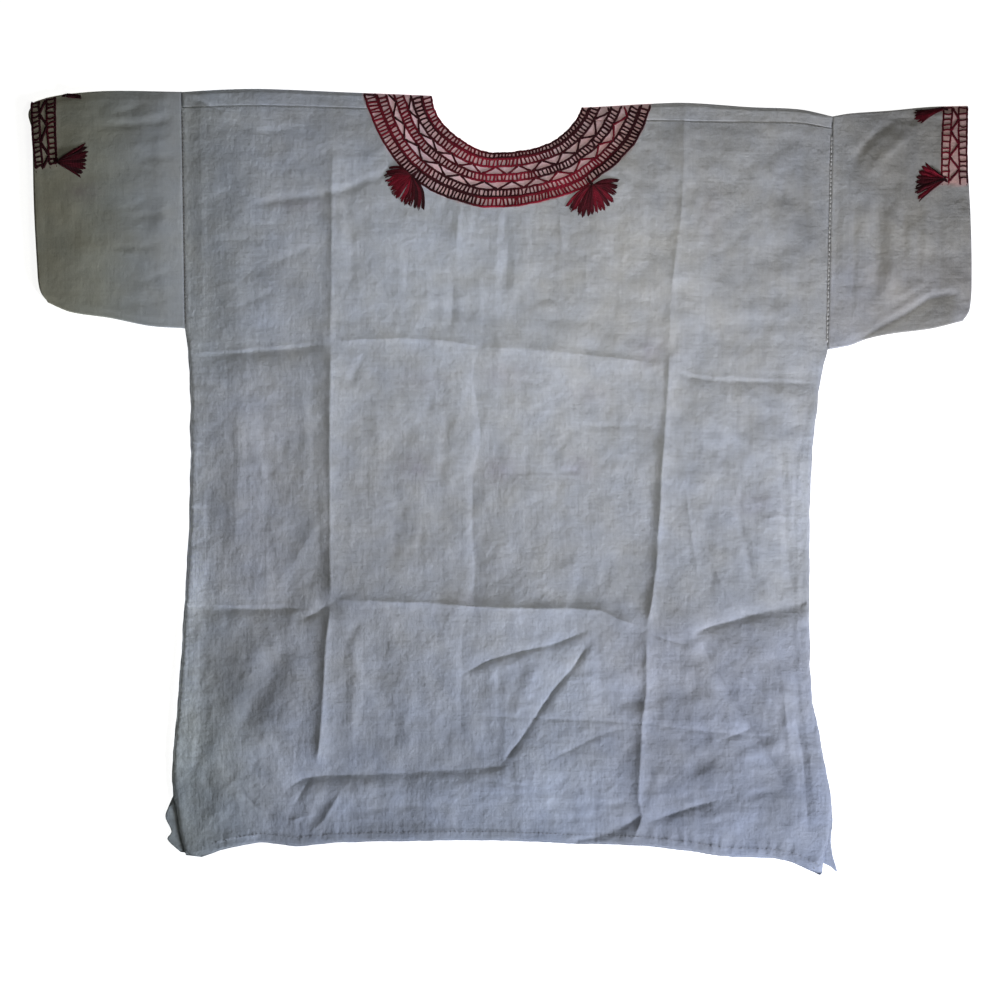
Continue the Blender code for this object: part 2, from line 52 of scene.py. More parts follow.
WALL = 0.75            # cloth thickness that is drawn
LOW_TOP = 1.2          # upper surface of the lower layer
FRONT_TOP = 2.7        # upper surface of the upper layer where it lies flat
PUFF = 6.0             # how far the upper layer stands off between creases
MAX_RELIEF = 12.5
EDGE_EASE = 60.0
GRID = 3.0             # spacing of the fine mesh
SEAM_GAP = 0.3
RNG = np.random.default_rng(20261)


def at(px, py):
    return ((px - MID_PX[0]) * PIXEL, (MID_PX[1] - py) * PIXEL)


# ------------------------------------------------------------------ outline
TOP_FOLD_LEFT = (
    # x, y, width of the back's overlap down to the shoulder seam, in mm
    (-338.5, 414.0, 17.0), (-292.0, 416.6, 18.0), (-250.0, 417.2, 18.0),
    (-159.0, 413.5, 17.0), (-106.0, 411.5, 16.5), (-72.5, 410.0, 16.0),
)
TOP_FOLD_RIGHT = (
    (88.0, 397.5, 14.0), (117.0, 399.0, 15.5), (159.0, 401.5, 18.0), (198.5, 402.5, 20.0),
    (265.5, 398.0, 16.5), (318.5, 395.5, 15.0), (353.5, 388.0, 13.0),
)
SIDE_LEFT = (
    # x, y in mm
    (-334.5, 163.5), (-331.0, 138.0), (-329.0, 97.5), (-329.0, -8.5), (-331.0, -61.5),
    (-334.0, -114.5), (-341.0, -221.0), (-348.0, -305.5), (-347.0, -332.5),
)
SIDE_RIGHT = (
    (348.0, 141.0), (343.0, 121.0), (336.5, 81.5), (330.0, 2.0), (328.5, -125.5),
    (330.5, -221.0), (340.0, -274.0), (349.5, -324.0), (353.5, -353.5), (352.5, -368.0),
)
FRONT_CORNER_LEFT = ((-343.0, -348.0), (-340.5, -368.0), (-337.0, -383.0), (-333.5, -396.0))
FRONT_CORNER_RIGHT = ((348.5, -381.0), (345.5, -392.0), (343.0, -404.0), (342.0, -415.0))
BACK_CORNER_LEFT = (
    (-352.0, -344.0), (-355.5, -355.5), (-349.0, -371.5), (-353.5, -379.0), (-339.5, -393.0),
)
BACK_CORNER_RIGHT = (
    (351.5, -382.0), (353.5, -397.0), (358.0, -414.0), (351.0, -408.5), (343.5, -405.0),
)
HEM = (
    (339.5, -417.2), (328.0, -411.5), (299.5, -401.0), (244.0, -397.5), (159.0, -387.0),
    (74.5, -383.5), (-10.5, -380.5), (-138.0, -382.0), (-180.5, -383.5), (-212.0, -386.5),
    (-255.0, -383.0), (-291.0, -389.5), (-316.5, -398.0),
)
SLEEVE_LEFT = {
    "top": ((-338.5, 414.0), (-414.0, 415.0), (-456.5, 412.0), (-480.0, 408.0), (-494.0, 403.5)),
    "underarm": ((-334.5, 163.5), (-371.5, 166.0), (-414.0, 174.5), (-456.5, 181.0), (-480.0, 191.0)),
    "cuff": ((-494.0, 403.5), (-500.5, 391.0), (-496.5, 373.5), (-494.5, 299.5), (-491.0, 230.5),
             (-488.0, 203.0), (-480.0, 191.0)),
}
SLEEVE_RIGHT = {
    "top": ((353.5, 388.0), (371.5, 391.0), (414.0, 394.0), (456.5, 398.0), (496.0, 399.0)),
    "underarm": ((348.0, 141.0), (371.5, 145.5), (390.5, 152.5), (414.0, 157.5), (456.5, 163.0), (491.5, 171.5)),
    "cuff": ((496.0, 399.0), (495.0, 352.5), (498.5, 289.0), (500.0, 214.5), (498.0, 182.0), (491.5, 171.5)),
}

# The neck band in polar form about the hole's middle, in px.
NECK_MID_PX = (510.0, 71.0)
NECK_EDGE = (
    # angle in degrees from the viewer's right, turning down; radius in px
    (26.7, 81.6), (36.8, 83.0), (50.2, 83.3), (60.4, 83.0), (68.0, 82.2), (83.5, 81.3), (94.9, 82.5),
    (101.8, 84.4), (108.9, 85.4), (124.4, 85.0), (134.7, 85.6), (142.3, 86.4), (149.5, 85.9),
    (156.7, 84.5), (163.1, 82.6),
)
BAND_EDGE = (
    (14.2, 143.9), (24.6, 143.9), (31.2, 143.4), (37.2, 141.2), (44.3, 140.0), (48.5, 137.6), (57.8, 137.8),
    (65.4, 135.5), (72.2, 133.7), (81.2, 134.0), (94.2, 135.8), (101.4, 138.6), (112.3, 139.8),
    (123.4, 142.7), (136.8, 145.0), (153.7, 144.5), (162.6, 145.5), (171.0, 147.8),
)
HIDDEN_MID = (5.2, 370.8)   # middle of the hole's hidden half, turned over onto the back, in mm
HIDDEN_RADIUS = (88.5, 152.0)


# ------------------------------------------------------------------ helpers
def smooth(t):
    t = np.clip(t, 0.0, 1.0)
    return t * t * (3.0 - 2.0 * t)


def curve(rows, step):
    """A smooth curve through rows of numbers, with points about step apart."""
    rows = np.asarray(rows, float)
    chord = np.r_[0.0, np.cumsum(np.hypot(*np.diff(rows[:, :2], axis=0).T))]
    slope = np.array([
        (rows[min(i + 1, len(rows) - 1)] - rows[max(i - 1, 0)])
        / (chord[min(i + 1, len(rows) - 1)] - chord[max(i - 1, 0)])
        for i in range(len(rows))
    ])
    out = []
    for i in range(len(rows) - 1):
        length = chord[i + 1] - chord[i]
        pieces = max(1, round(length / step))
        t = (np.arange(pieces) / pieces)[:, None]
        out.append(
            (2 * t**3 - 3 * t**2 + 1) * rows[i] + (t**3 - 2 * t**2 + t) * length * slope[i]
            + (-2 * t**3 + 3 * t**2) * rows[i + 1] + (t**3 - t**2) * length * slope[i + 1]
        )
    out.append(rows[-1:])
    return np.concatenate(out)


def lengths(path):
    path = np.asarray(path)
    return np.r_[0.0, np.cumsum(np.linalg.norm(np.diff(path, axis=0), axis=1))]


def even(path, step):
    """The same path with its points about step apart."""
    path = np.asarray(path, float)
    run = lengths(path)
    n = max(2, int(round(run[-1] / step)) + 1)
    want = np.linspace(0.0, run[-1], n)
    return np.stack([np.interp(want, run, path[:, k]) for k in range(path.shape[1])], axis=1)


def near(points, path, reach):
    """Which points lie within reach of a path, their distance (positive on its
    left), how far along it they are, and its whole length."""
    path = np.asarray(path, float)
    lo, hi = path.min(0) - reach, path.max(0) + reach
    index = np.nonzero(((points > lo) & (points < hi)).all(1))[0]
    index = index[np.argsort(points[index, 1], kind="stable")]
    p = points[index]
    best, side, run = np.full(len(p), 1e9), np.ones(len(p)), np.zeros(len(p))
    low = np.searchsorted(p[:, 1], np.minimum(path[:-1, 1], path[1:, 1]) - reach)
    high = np.searchsorted(p[:, 1], np.maximum(path[:-1, 1], path[1:, 1]) + reach)
    start = 0.0
    for a, b, i, j in zip(path, path[1:], low, high):
        d = b - a
        length = math.hypot(*d)
        if length < 1e-9:
            continue
        rel = p[i:j] - a
        t = np.clip(rel @ d / length**2, 0.0, 1.0)
        gap = np.hypot(rel[:, 0] - t * d[0], rel[:, 1] - t * d[1])
        closer = np.nonzero(gap < best[i:j])[0]
        at_closer = closer + i
        best[at_closer] = gap[closer]
        cross = d[0] * rel[closer, 1] - d[1] * rel[closer, 0]
        side[at_closer] = np.where(cross < 0, -1.0, 1.0)
        run[at_closer] = start + t[closer] * length
        start += length
    keep = best < reach
    return index[keep], (best * side)[keep], run[keep], start


def inside(points, loop):
    found = np.zeros(len(points), bool)
    x, y = points[:, 0], points[:, 1]
    for a, b in zip(loop, np.roll(loop, -1, axis=0)):
        if a[1] == b[1]:
            continue
        hit = (a[1] > y) != (b[1] > y)
        found ^= hit & (x < a[0] + (y - a[1]) * (b[0] - a[0]) / (b[1] - a[1]))
    return found


def perlin(points, size, seed):
    """Smooth noise from about -1 to 1 with humps about size mm wide."""
    q = np.asarray(points, float) / size + 1000.0 + 17.3 * seed
    cell = np.floor(q).astype(np.int64)
    f = q - cell

    def corner(dx, dy):
        h = ((cell[:, 0] + dx) * 374761393 + (cell[:, 1] + dy) * 668265263 + seed * 974634777) & 0x7FFFFFFF
        h = ((h ^ (h >> 13)) * 1274126177) & 0x7FFFFFFF
        angle = ((h ^ (h >> 16)) & 0xFFFF) / 65536.0 * 2.0 * math.pi
        return np.cos(angle) * (f[:, 0] - dx) + np.sin(angle) * (f[:, 1] - dy)

    u = f * f * f * (f * (f * 6.0 - 15.0) + 10.0)
    top = corner(0, 0) + (corner(1, 0) - corner(0, 0)) * u[:, 0]
    low = corner(0, 1) + (corner(1, 1) - corner(0, 1)) * u[:, 0]
    return 1.6 * (top + (low - top) * u[:, 1])


def wave(run, size, seed):
    """Noise along one line."""
    run = np.atleast_1d(np.asarray(run, float))
    return perlin(np.stack([run, np.full(len(run), 7.7 * size)], axis=1), size, seed)


def polar(angle, radius_px):
    a = np.radians(angle)
    cx, cy = at(*NECK_MID_PX)
    r = np.asarray(radius_px) * PIXEL
    return np.stack([cx + r * np.cos(a), cy - r * np.sin(a)], axis=-1)


def neck_radius(angle):
    t = np.array(NECK_EDGE)
    return np.interp(angle, t[:, 0], t[:, 1])


def band_radius(angle):
    t = np.array(BAND_EDGE)
    return np.interp(angle, t[:, 0], t[:, 1])


# ------------------------------------------------------------------ outlines
def armhole(top, base, shift):
    t = np.linspace(0.0, 1.0, 80)[:, None]
    return np.array(top[:2]) + (np.array(base) - np.array(top[:2])) * t + np.array([shift, 0.0])


def seam_line(rows, step):
    c = curve(rows, step)
    return np.stack([c[:, 0], c[:, 1] - c[:, 2]], axis=1)


def join(*runs):
    out = []
    for run in runs:
        for p in np.asarray(run)[:, :2]:
            if not out or math.hypot(p[0] - out[-1][0], p[1] - out[-1][1]) > 0.5:
                out.append((float(p[0]), float(p[1])))
    if math.hypot(out[0][0] - out[-1][0], out[0][1] - out[-1][1]) < 0.5:
        out.pop()
    return np.array(out)


def ragged(path, amount, size, seed):
    """A cut or turned edge is never quite even."""
    path = even(path, 3.0)
    d = np.gradient(path, axis=0)
    d /= np.maximum(np.linalg.norm(d, axis=1), 1e-9)[:, None]
    run = lengths(path)
    ends = smooth(run / 12.0) * smooth((run[-1] - run) / 12.0)
    off = amount * (wave(run, size, seed) + 0.5 * wave(run, size * 0.37, seed + 1)) * ends
    return path + np.stack([-d[:, 1], d[:, 0]], axis=1) * off[:, None]


NECK_ARC = polar(np.linspace(163.1, 26.7, 110), neck_radius(np.linspace(163.1, 26.7, 110)))
NECK_ARC[0], NECK_ARC[-1] = TOP_FOLD_LEFT[-1][:2], TOP_FOLD_RIGHT[0][:2]
FOLD_L = curve(TOP_FOLD_LEFT, 3.0)
FOLD_R = curve(TOP_FOLD_RIGHT, 3.0)
SEAM_L = seam_line(TOP_FOLD_LEFT, 3.0)
SEAM_R = seam_line(TOP_FOLD_RIGHT, 3.0)
ARM_L = armhole(TOP_FOLD_LEFT[0], SIDE_LEFT[0], SEAM_GAP / 2)
ARM_R = armhole(TOP_FOLD_RIGHT[-1], SIDE_RIGHT[0], -SEAM_GAP / 2)
EDGE_L = ragged(curve(SIDE_LEFT, 3.0), 0.7, 26.0, 11)
EDGE_R = ragged(curve(SIDE_RIGHT, 3.0), 0.7, 26.0, 12)
TAIL_FL = curve(FRONT_CORNER_LEFT, 3.0)
TAIL_FR = curve(FRONT_CORNER_RIGHT, 3.0)
HEM_F = ragged(curve(HEM, 3.0), 0.55, 17.0, 13)
HEM_B = ragged(curve(HEM[2:], 3.0), 0.4, 17.0, 15) + np.array([0.0, 1.2])

# Where the neck's edge passes the shoulder seams.
_cut_l = int(np.nonzero(NECK_ARC[:, 1] <= SEAM_L[-1, 1])[0][0])
_cut_r = int(np.nonzero(NECK_ARC[:, 1] <= SEAM_R[0, 1])[0][-1])
NECK_LOW = NECK_ARC[_cut_l:_cut_r + 1]
NECK_END_L = NECK_ARC[_cut_l]
NECK_END_R = NECK_ARC[_cut_r]

UPPER_LOOP = join(
    FOLD_L, NECK_ARC, FOLD_R, ARM_R, EDGE_R, TAIL_FR, HEM_F, TAIL_FL[::-1], EDGE_L[::-1], ARM_L[::-1],
)
FRONT_LOOP = join(
    ARM_L[5:6], SEAM_L[SEAM_L[:, 0] < NECK_END_L[0] - 2.0], NECK_LOW, SEAM_R[SEAM_R[:, 0] > NECK_END_R[0] + 2.0],
    ARM_R[4:], EDGE_R, TAIL_FR, HEM_F, TAIL_FL[::-1], EDGE_L[::-1], ARM_L[5:][::-1],
)


# ------------------------------------------------------------------ creases
# height in mm (a ridge is positive, a trough negative), half width in mm,
# form, and the crease's points in px.
FRONT_FOLDS = (
    # pressed lines, top to bottom; a pair of widths is the east and the west side
    (1.7, (12.0, 7.0), "sharp", (333, 150), (332, 250), (331, 345)),
    (2.3, (13.0, 7.5), "sharp", (331, 345), (330, 480), (331, 603)),
    (0.5, 4.0, "soft", (322, 470), (324, 520), (325, 565)),
    (2.1, (9.0, 7.0), "sharp", (331, 603), (329, 620), (326, 650), (323, 700), (320, 740), (316, 768)),
    (-1.5, (30.0, 5.5), "sharp", (478, 350), (473, 380), (477, 402), (480, 440), (473, 480), (473, 545), (475, 560), (473, 603)),
    (-0.5, (12.0, 5.0), "sharp", (473, 603), (464, 625), (461, 690), (463, 750)),
    (1.3, (8.0, 6.0), "sharp", (684, 104), (682, 200), (676, 250), (671, 300), (669, 350)),
    (2.6, (8.5, 5.0), "sharp", (669, 350), (667, 400), (663, 450), (661, 480), (657, 550), (653, 590), (646, 630)),
    (1.8, (9.0, 6.0), "sharp", (646, 630), (646, 690), (642, 720), (640, 760), (638, 800), (642, 816), (632, 842)),
    # pressed lines, side to side; the pair of widths is the upper and the lower side
    (-3.0, (40.0, 10.0), "sharp", (190, 357), (230, 354), (280, 350), (330, 345)),
    (1.5, (9.0, 10.0), "sharp", (331, 341), (400, 339), (440, 341), (480, 347)),
    (2.6, (34.0, 16.0), "sharp", (480, 347), (540, 351), (610, 358), (664, 364)),
    (-0.8, 7.0, "soft", (560, 346), (600, 350), (650, 356)),
    (-1.8, (40.0, 8.0), "sharp", (672, 371), (700, 379), (760, 382), (817, 384)),
    (-3.2, (30.0, 8.0), "sharp", (184, 608), (240, 609), (306, 609)),
    (-1.5, (4.0, 6.0), "sharp", (296, 611), (307, 617), (318, 612), (330, 602)),
    (2.9, (14.0, 16.0), "sharp", (331, 600), (345, 600), (430, 603), (478, 607)),
    (3.1, (8.0, 14.0), "sharp", (462, 606), (520, 608), (600, 610), (614, 617), (642, 628)),
    (-0.8, 2.4, "sharp", (646, 632), (668, 640), (692, 646)),
    (-3.4, (9.0, 7.5), "sharp", (691, 634), (720, 624), (760, 614), (811, 601)),
    (0.55, (2.2, 2.2), "sharp", (189, 353), (230, 350), (280, 346), (328, 342)),
    (0.5, (2.2, 2.2), "sharp", (185, 604), (240, 605), (298, 603)),
    (0.4, (2.2, 2.2), "sharp", (674, 367), (700, 375), (760, 378), (815, 380)),
    # the large creases of the lower half
    (-3.8, (30.0, 8.0), "sharp", (286, 790), (300, 780), (312, 777), (350, 775), (400, 773), (450, 770), (507, 766)),
    (-1.4, (9.0, 3.0), "sharp", (460, 675), (475, 668), (490, 660), (520, 652), (560, 642), (590, 629)),
    (-1.4, (3.2, 10.0), "sharp", (592, 638), (572, 668), (550, 695), (520, 740), (500, 767)),
    (-1.6, 15.0, "soft", (700, 640), (722, 676), (745, 712), (790, 782), (805, 818)),
    (-1.5, (9.0, 4.0), "sharp", (698, 637), (712, 664), (730, 694), (752, 728), (772, 762), (786, 790)),
    (0.8, (4.0, 7.0), "sharp", (706, 642), (732, 666), (760, 690), (786, 712)),
    (-0.7, 4.0, "sharp", (716, 742), (728, 737), (744, 731), (757, 724)),
    (0.5, 3.0, "sharp", (779, 660), (783, 690), (786, 724), (789, 760)),
    (-0.6, 3.2, "sharp", (793, 740), (799, 775), (806, 806)),
    (-0.9, 7.0, "soft", (604, 702), (640, 703), (672, 700)),
    (-0.8, 8.0, "soft", (684, 776), (704, 764), (722, 748)),
    # gathers that hang from the neck band
    (0.50, 3.0, "sharp", (457, 205), (458, 225), (456, 246)),
    (-0.45, 3.0, "sharp", (454, 278), (453, 305), (450, 330)),
    (0.50, 3.0, "sharp", (558, 203), (560, 222), (561, 248)),
    (-0.40, 3.2, "sharp", (505, 208), (504, 232), (501, 250)),
    (0.40, 3.0, "sharp", (497, 209), (498, 228), (495, 250)),
    (-0.40, 3.0, "sharp", (489, 232), (488, 250), (486, 266)),
    (0.40, 4.0, "soft", (512, 240), (514, 270), (513, 298)),
    (-0.40, 4.5, "soft", (504, 258), (505, 276), (506, 292)),
    (0.35, 3.4, "soft", (478, 262), (480, 295), (481, 322)),
    (-0.35, 3.2, "sharp", (440, 310), (456, 311), (476, 312)),
    (-0.35, 3.4, "sharp", (536, 304), (548, 298), (558, 305)),
    (0.45, 5.0, "soft", (524, 314), (540, 309), (556, 306)),
    (0.9, 12.0, "soft", (712, 634), (760, 665), (795, 705)),
    (-1.0, 13.0, "soft", (588, 690), (640, 692), (712, 690)),
    (-0.5, 2.4, "sharp", (465, 715), (560, 719), (640, 723), (745, 735), (777, 735)),
    (-0.5, 2.6, "sharp", (545, 762), (575, 747), (600, 735), (634, 724)),
    (-0.4, 4.0, "soft", (499, 660), (499, 768)),
    (-1.3, 14.0, "soft", (293, 636), (275, 670), (255, 705), (236, 740)),
    (0.8, 10.0, "soft", (262, 640), (246, 680), (232, 724)),
    (-0.7, 2.6, "sharp", (312, 776), (303, 790), (292, 809)),
    (0.7, (5.0, 3.4), "sharp", (345, 785), (334, 803), (322, 822), (306, 836)),
    (-0.5, 6.0, "soft", (286, 812), (312, 818), (322, 806), (340, 792)),
    (-0.9, (6.0, 2.6), "sharp", (218, 781), (236, 789), (250, 800), (262, 811), (282, 816)),
    (0.9, 3.4, "sharp", (288, 822), (304, 816), (318, 815)),
    (-2.0, (6.0, 5.0), "sharp", (566, 843), (595, 837), (618, 829), (636, 819), (643, 812)),
    (-1.8, (8.0, 6.0), "sharp", (646, 823), (668, 815), (690, 808), (722, 799)),
    (1.1, 8.0, "soft", (650, 778), (664, 774), (676, 772)),
    (0.8, 9.0, "soft", (648, 790), (652, 815)),
    (-1.0, 5.0, "soft", (740, 797), (765, 792), (790, 788)),
    (-0.5, 3.0, "sharp", (480, 780), (510, 783), (537, 788)),
    (-0.5, 3.4, "soft", (560, 806), (600, 804), (636, 802)),
    (-0.5, 3.4, "soft", (520, 818), (570, 819), (610, 815)),
    (-0.4, 3.4, "soft", (655, 800), (700, 795), (735, 786)),
    (-0.4, 3.4, "soft", (355, 812), (410, 806), (450, 808)),
    (-0.6, 4.0, "soft", (345, 826), (400, 822), (470, 826)),
    (-1.3, (5.0, 3.5), "sharp", (795, 715), (803, 760), (806, 800), (809, 832)),
    (0.4, 4.5, "soft", (783, 700), (792, 745), (797, 790)),
    (-0.7, 3.0, "sharp", (812, 712), (815, 722), (814, 733)),
    (0.6, 7.0, "soft", (770, 690), (800, 700), (815, 720)),
    (-0.7, 3.0, "sharp", (690, 722), (722, 745), (745, 768)),
    # creases of the upper half
    (-1.0, 5.0, "soft", (248, 206), (290, 199), (332, 194), (392, 171)),
    (-0.35, 3.0, "sharp", (205, 241), (245, 240), (287, 240)),
    (-0.5, 5.0, "soft", (235, 281), (275, 262), (322, 244)),
    (-0.5, 4.5, "soft", (225, 311), (252, 301), (277, 289)),
    (-0.8, 4.0, "soft", (350, 386), (357, 368), (366, 354)),
    (-0.7, 4.0, "soft", (345, 652), (352, 634), (362, 618)),
    (-0.9, 9.0, "soft", (505, 210), (507, 255), (503, 302)),
    (-0.8, 7.0, "soft", (452, 262), (451, 300), (454, 334)),
    (0.6, 3.2, "soft", (458, 212), (457, 246), (456, 284)),
    (0.6, 3.2, "soft", (560, 210), (562, 250), (558, 284)),
    (-0.5, 3.2, "soft", (530, 214), (532, 246), (529, 270)),
    (-0.6, 4.0, "soft", (500, 378), (525, 382), (552, 386)),
    (-1.1, 9.0, "soft", (697, 190), (714, 236), (732, 292)),
    (-0.9, 8.0, "soft", (682, 262), (704, 306), (727, 352)),
    (0.9, 7.0, "soft", (742, 232), (750, 262), (758, 294)),
    (-0.6, 6.0, "soft", (768, 180), (772, 240), (776, 310)),
    (0.6, 6.0, "soft", (786, 190), (790, 250), (793, 320)),
    (-0.6, 5.0, "soft", (800, 150), (806, 220), (810, 300)),
    (-1.0, 9.0, "soft", (642, 368), (654, 352), (665, 338)),
    (-0.4, 3.0, "sharp", (568, 424), (606, 427), (642, 424)),
    (-0.6, 4.0, "soft", (560, 470), (571, 471), (582, 469)),
    (0.6, 2.6, "sharp", (685, 488), (689, 518), (693, 545), (698, 582)),
    (0.6, 2.8, "sharp", (699, 538), (712, 565), (725, 590), (734, 612)),
    (-0.9, 4.0, "soft", (734, 500), (742, 535), (750, 570), (762, 598)),
    (0.6, 4.0, "soft", (737, 476), (736, 500)),
    (-0.7, 4.0, "soft", (777, 430), (784, 480), (786, 540), (790, 590)),
    (0.5, 3.0, "sharp", (760, 520), (778, 516), (795, 520)),
    (-0.9, 3.4, "sharp", (190, 96), (205, 104), (226, 113)),
    (-0.6, 4.0, "soft", (222, 120), (260, 132), (300, 128)),
    (-0.5, 5.0, "soft", (345, 190), (352, 240), (349, 300)),
    (0.5, 5.0, "soft", (395, 225), (401, 270), (399, 320)),
    (-0.5, 6.0, "soft", (610, 230), (616, 280), (612, 330)),
    (-0.5, 6.0, "soft", (645, 190), (650, 230), (647, 280)),
    (-0.5, 7.0, "soft", (390, 470), (400, 520), (388, 570)),
    (0.5, 8.0, "soft", (560, 500), (575, 540), (570, 585)),
    (-0.5, 8.0, "soft", (590, 520), (620, 560), (640, 590)),
    (-0.6, 9.0, "soft", (360, 660), (385, 700), (400, 745)),
    (0.5, 9.0, "soft", (410, 650), (430, 690), (440, 730)),
    (0.4, 6.0, "soft", (238, 392), (239, 470), (233, 556)),
    (-0.3, 6.0, "soft", (224, 452), (223, 520), (216, 580)),
    (0.25, 2.0, "sharp", (212, 520), (210, 546), (205, 574)),
    (0.7, 7.0, "soft", (286, 574), (304, 548), (322, 512)),
    (-0.45, 6.0, "soft", (306, 590), (318, 566), (325, 540)),
    (-0.4, 7.0, "soft", (258, 400), (268, 470), (262, 560)),
    (0.4, 7.0, "soft", (300, 380), (306, 430), (304, 490)),
    (0.9, 8.0, "soft", (350, 630), (356, 680), (350, 740)),
    (0.8, 9.0, "soft", (540, 660), (520, 700), (505, 735)),
    (-0.8, 8.0, "soft", (660, 400), (700, 440), (740, 470)),
    (0.7, 7.0, "soft", (690, 395), (720, 425), (760, 450)),
    (-0.7, 6.0, "soft", (700, 520), (712, 570), (700, 610)),
    (-0.8, 8.0, "soft", (520, 300), (560, 320), (610, 318)),
    (-0.8, 7.0, "soft", (430, 360), (446, 420), (440, 480)),
    (0.8, 8.0, "soft", (370, 400), (380, 440), (372, 500)),
    (-0.8, 8.0, "soft", (520, 430), (548, 450), (560, 500)),
    (1.0, 8.0, "soft", (690, 660), (720, 700), (742, 735)),
    (-1.0, 8.0, "soft", (668, 730), (690, 752), (700, 780)),
    (1.0, 7.0, "soft", (735, 760), (762, 748), (790, 742)),
    (0.9, 6.0, "soft", (700, 820), (730, 812), (765, 812)),
    (-0.5, 6.0, "soft", (232, 500), (262, 512), (300, 520)),
)
SLEEVE_LEFT_FOLDS = (
    (-0.8, (3.0, 5.0), "sharp", (88, 128), (110, 126), (140, 124), (168, 119), (180, 114)),
    (-0.5, 3.4, "soft", (112, 114), (130, 110), (146, 103)),
    (0.3, 3.0, "soft", (120, 120), (144, 117), (176, 107)),
    (-0.7, 4.0, "soft", (140, 156), (160, 158), (180, 158)),
    (0.5, 4.0, "soft", (128, 146), (155, 143), (180, 136)),
    (0.7, 18.0, "soft", (62, 140), (100, 150), (170, 140)),
    (-0.6, 16.0, "soft", (70, 196), (110, 208), (165, 206)),
    (0.6, 18.0, "soft", (60, 250), (110, 252), (170, 262)),
    (-0.6, 2.6, "sharp", (128, 284), (150, 280), (168, 271), (180, 268)),
    (-0.5, 3.0, "soft", (118, 214), (140, 218), (162, 214)),
    (-0.5, 3.0, "soft", (108, 244), (134, 248), (160, 244)),
    (-0.4, 3.0, "soft", (120, 300), (146, 303), (172, 298)),
    (-0.5, 3.0, "soft", (84, 312), (120, 318), (150, 324), (176, 325)),
)
SLEEVE_RIGHT_FOLDS = (
    (-1.0, 6.5, "soft", (850, 172), (858, 155), (876, 134), (904, 114)),
    (0.8, 7.0, "soft", (862, 182), (886, 152), (918, 128)),
    (-1.0, 5.0, "soft", (880, 112), (900, 117), (924, 122)),
    (-1.9, 8.5, "soft", (877, 196), (877, 250), (873, 308)),
    (0.9, 6.0, "soft", (890, 205), (892, 250), (888, 300)),
    (-0.9, 5.0, "soft", (903, 198), (904, 250), (908, 296)),
    (0.8, 6.0, "soft", (922, 190), (925, 240), (922, 290)),
    (-0.9, 5.0, "soft", (853, 196), (854, 250), (850, 316)),
    (0.7, 5.0, "soft", (840, 150), (842, 220), (839, 300)),
    (-0.7, 5.0, "soft", (936, 210), (940, 250), (938, 300)),
    (-0.5, 3.0, "sharp", (833, 287), (858, 284), (887, 285)),
    (-0.4, 4.0, "soft", (930, 128), (934, 150), (930, 172)),
    (-1.6, (2.6, 13.0), "sharp", (864, 338), (884, 326), (906, 314.5), (930, 298), (947, 294.5), (962, 296)),
    (-0.5, 4.0, "soft", (884, 312), (906, 298), (934, 284)),
)


CREASE, SWELL = 1.75, 1.7     # how strongly the tables' creases and swells are made


def add_folds(height, points, rows, seed, scale=1.0):
    """Adds creases to a height, each uneven along its length."""
    for n, (rise, width, form, *knots) in enumerate(rows):
        path = curve([at(*k) for k in knots], 9.0)
        run = lengths(path)
        d = np.gradient(path, axis=0)
        d /= np.linalg.norm(d, axis=1)[:, None]
        path = path + np.stack([-d[:, 1], d[:, 0]], axis=1) * (0.5 * wave(run, 31.0, seed + n))[:, None]
        left, right = width if isinstance(width, tuple) else (width, width)
        index, off, along, total = near(points, path, max(left, right) * (5.0 if form == "sharp" else 2.6))
        width = np.where(off > 0.0, left, right)
        taper = min(26.0, 0.32 * total)
        ends = smooth(along / taper + 0.12) * smooth((total - along) / taper + 0.12)
        ends *= 1.0 + 0.28 * wave(along, 38.0, seed + n + 50)
        gap = np.abs(off)
        if form == "sharp":
            cusp = np.sqrt(gap**2 + 0.2) - 0.45
            crisp = 0.26 * min(1.0, 11.0 / max(left, right)) * (0.75 + 0.5 * wave(along, 24.0, seed + n + 90))
            shape = (1.0 - crisp) * np.exp(-cusp / width) * (1.0 - smooth(gap / (5.0 * width)))
            shape = shape + crisp * np.exp(-cusp / 1.7)
            shape = CREASE * shape
        else:
            shape = SWELL * np.exp(-(gap / width) ** 2) * (1.0 - smooth(gap / (2.6 * width)) * 0.9)
        height[index] += scale * rise * shape * ends
    return height


def lip(height, points, path, rise, reach, seed, sharpness=0.9):
    """A layer's edge: raised on the path's left, falling away over reach."""
    index, off, along, total = near(points, path, reach)
    ends = smooth(along / 10.0 + 0.1) * smooth((total - along) / 10.0 + 0.1)
    up = smooth(off / sharpness + 0.5) * (1.0 - smooth(np.abs(off) / reach))
    height[index] += rise * up * ends * (1.0 + 0.25 * wave(along, 22.0, seed))
    return height


def allowance(height, points, path, rise, width, seed, ripple=0.0):
    """A band on the path's left where a seam allowance lies beneath the cloth."""
    index, off, along, total = near(points, path, width + 4.0)
    ends = smooth(along / 6.0) * smooth((total - along) / 6.0)
    band = smooth(off / 1.6 + 0.5) * (1.0 - smooth((off - width + 1.0) / 2.0))
    wrinkle = ripple * band * (wave(along, 9.0, seed) + 0.6 * wave(along, 4.6, seed + 3))
    height[index] += (rise * band * (1.0 + 0.3 * wave(along, 24.0, seed + 5)) + wrinkle) * ends
    return height


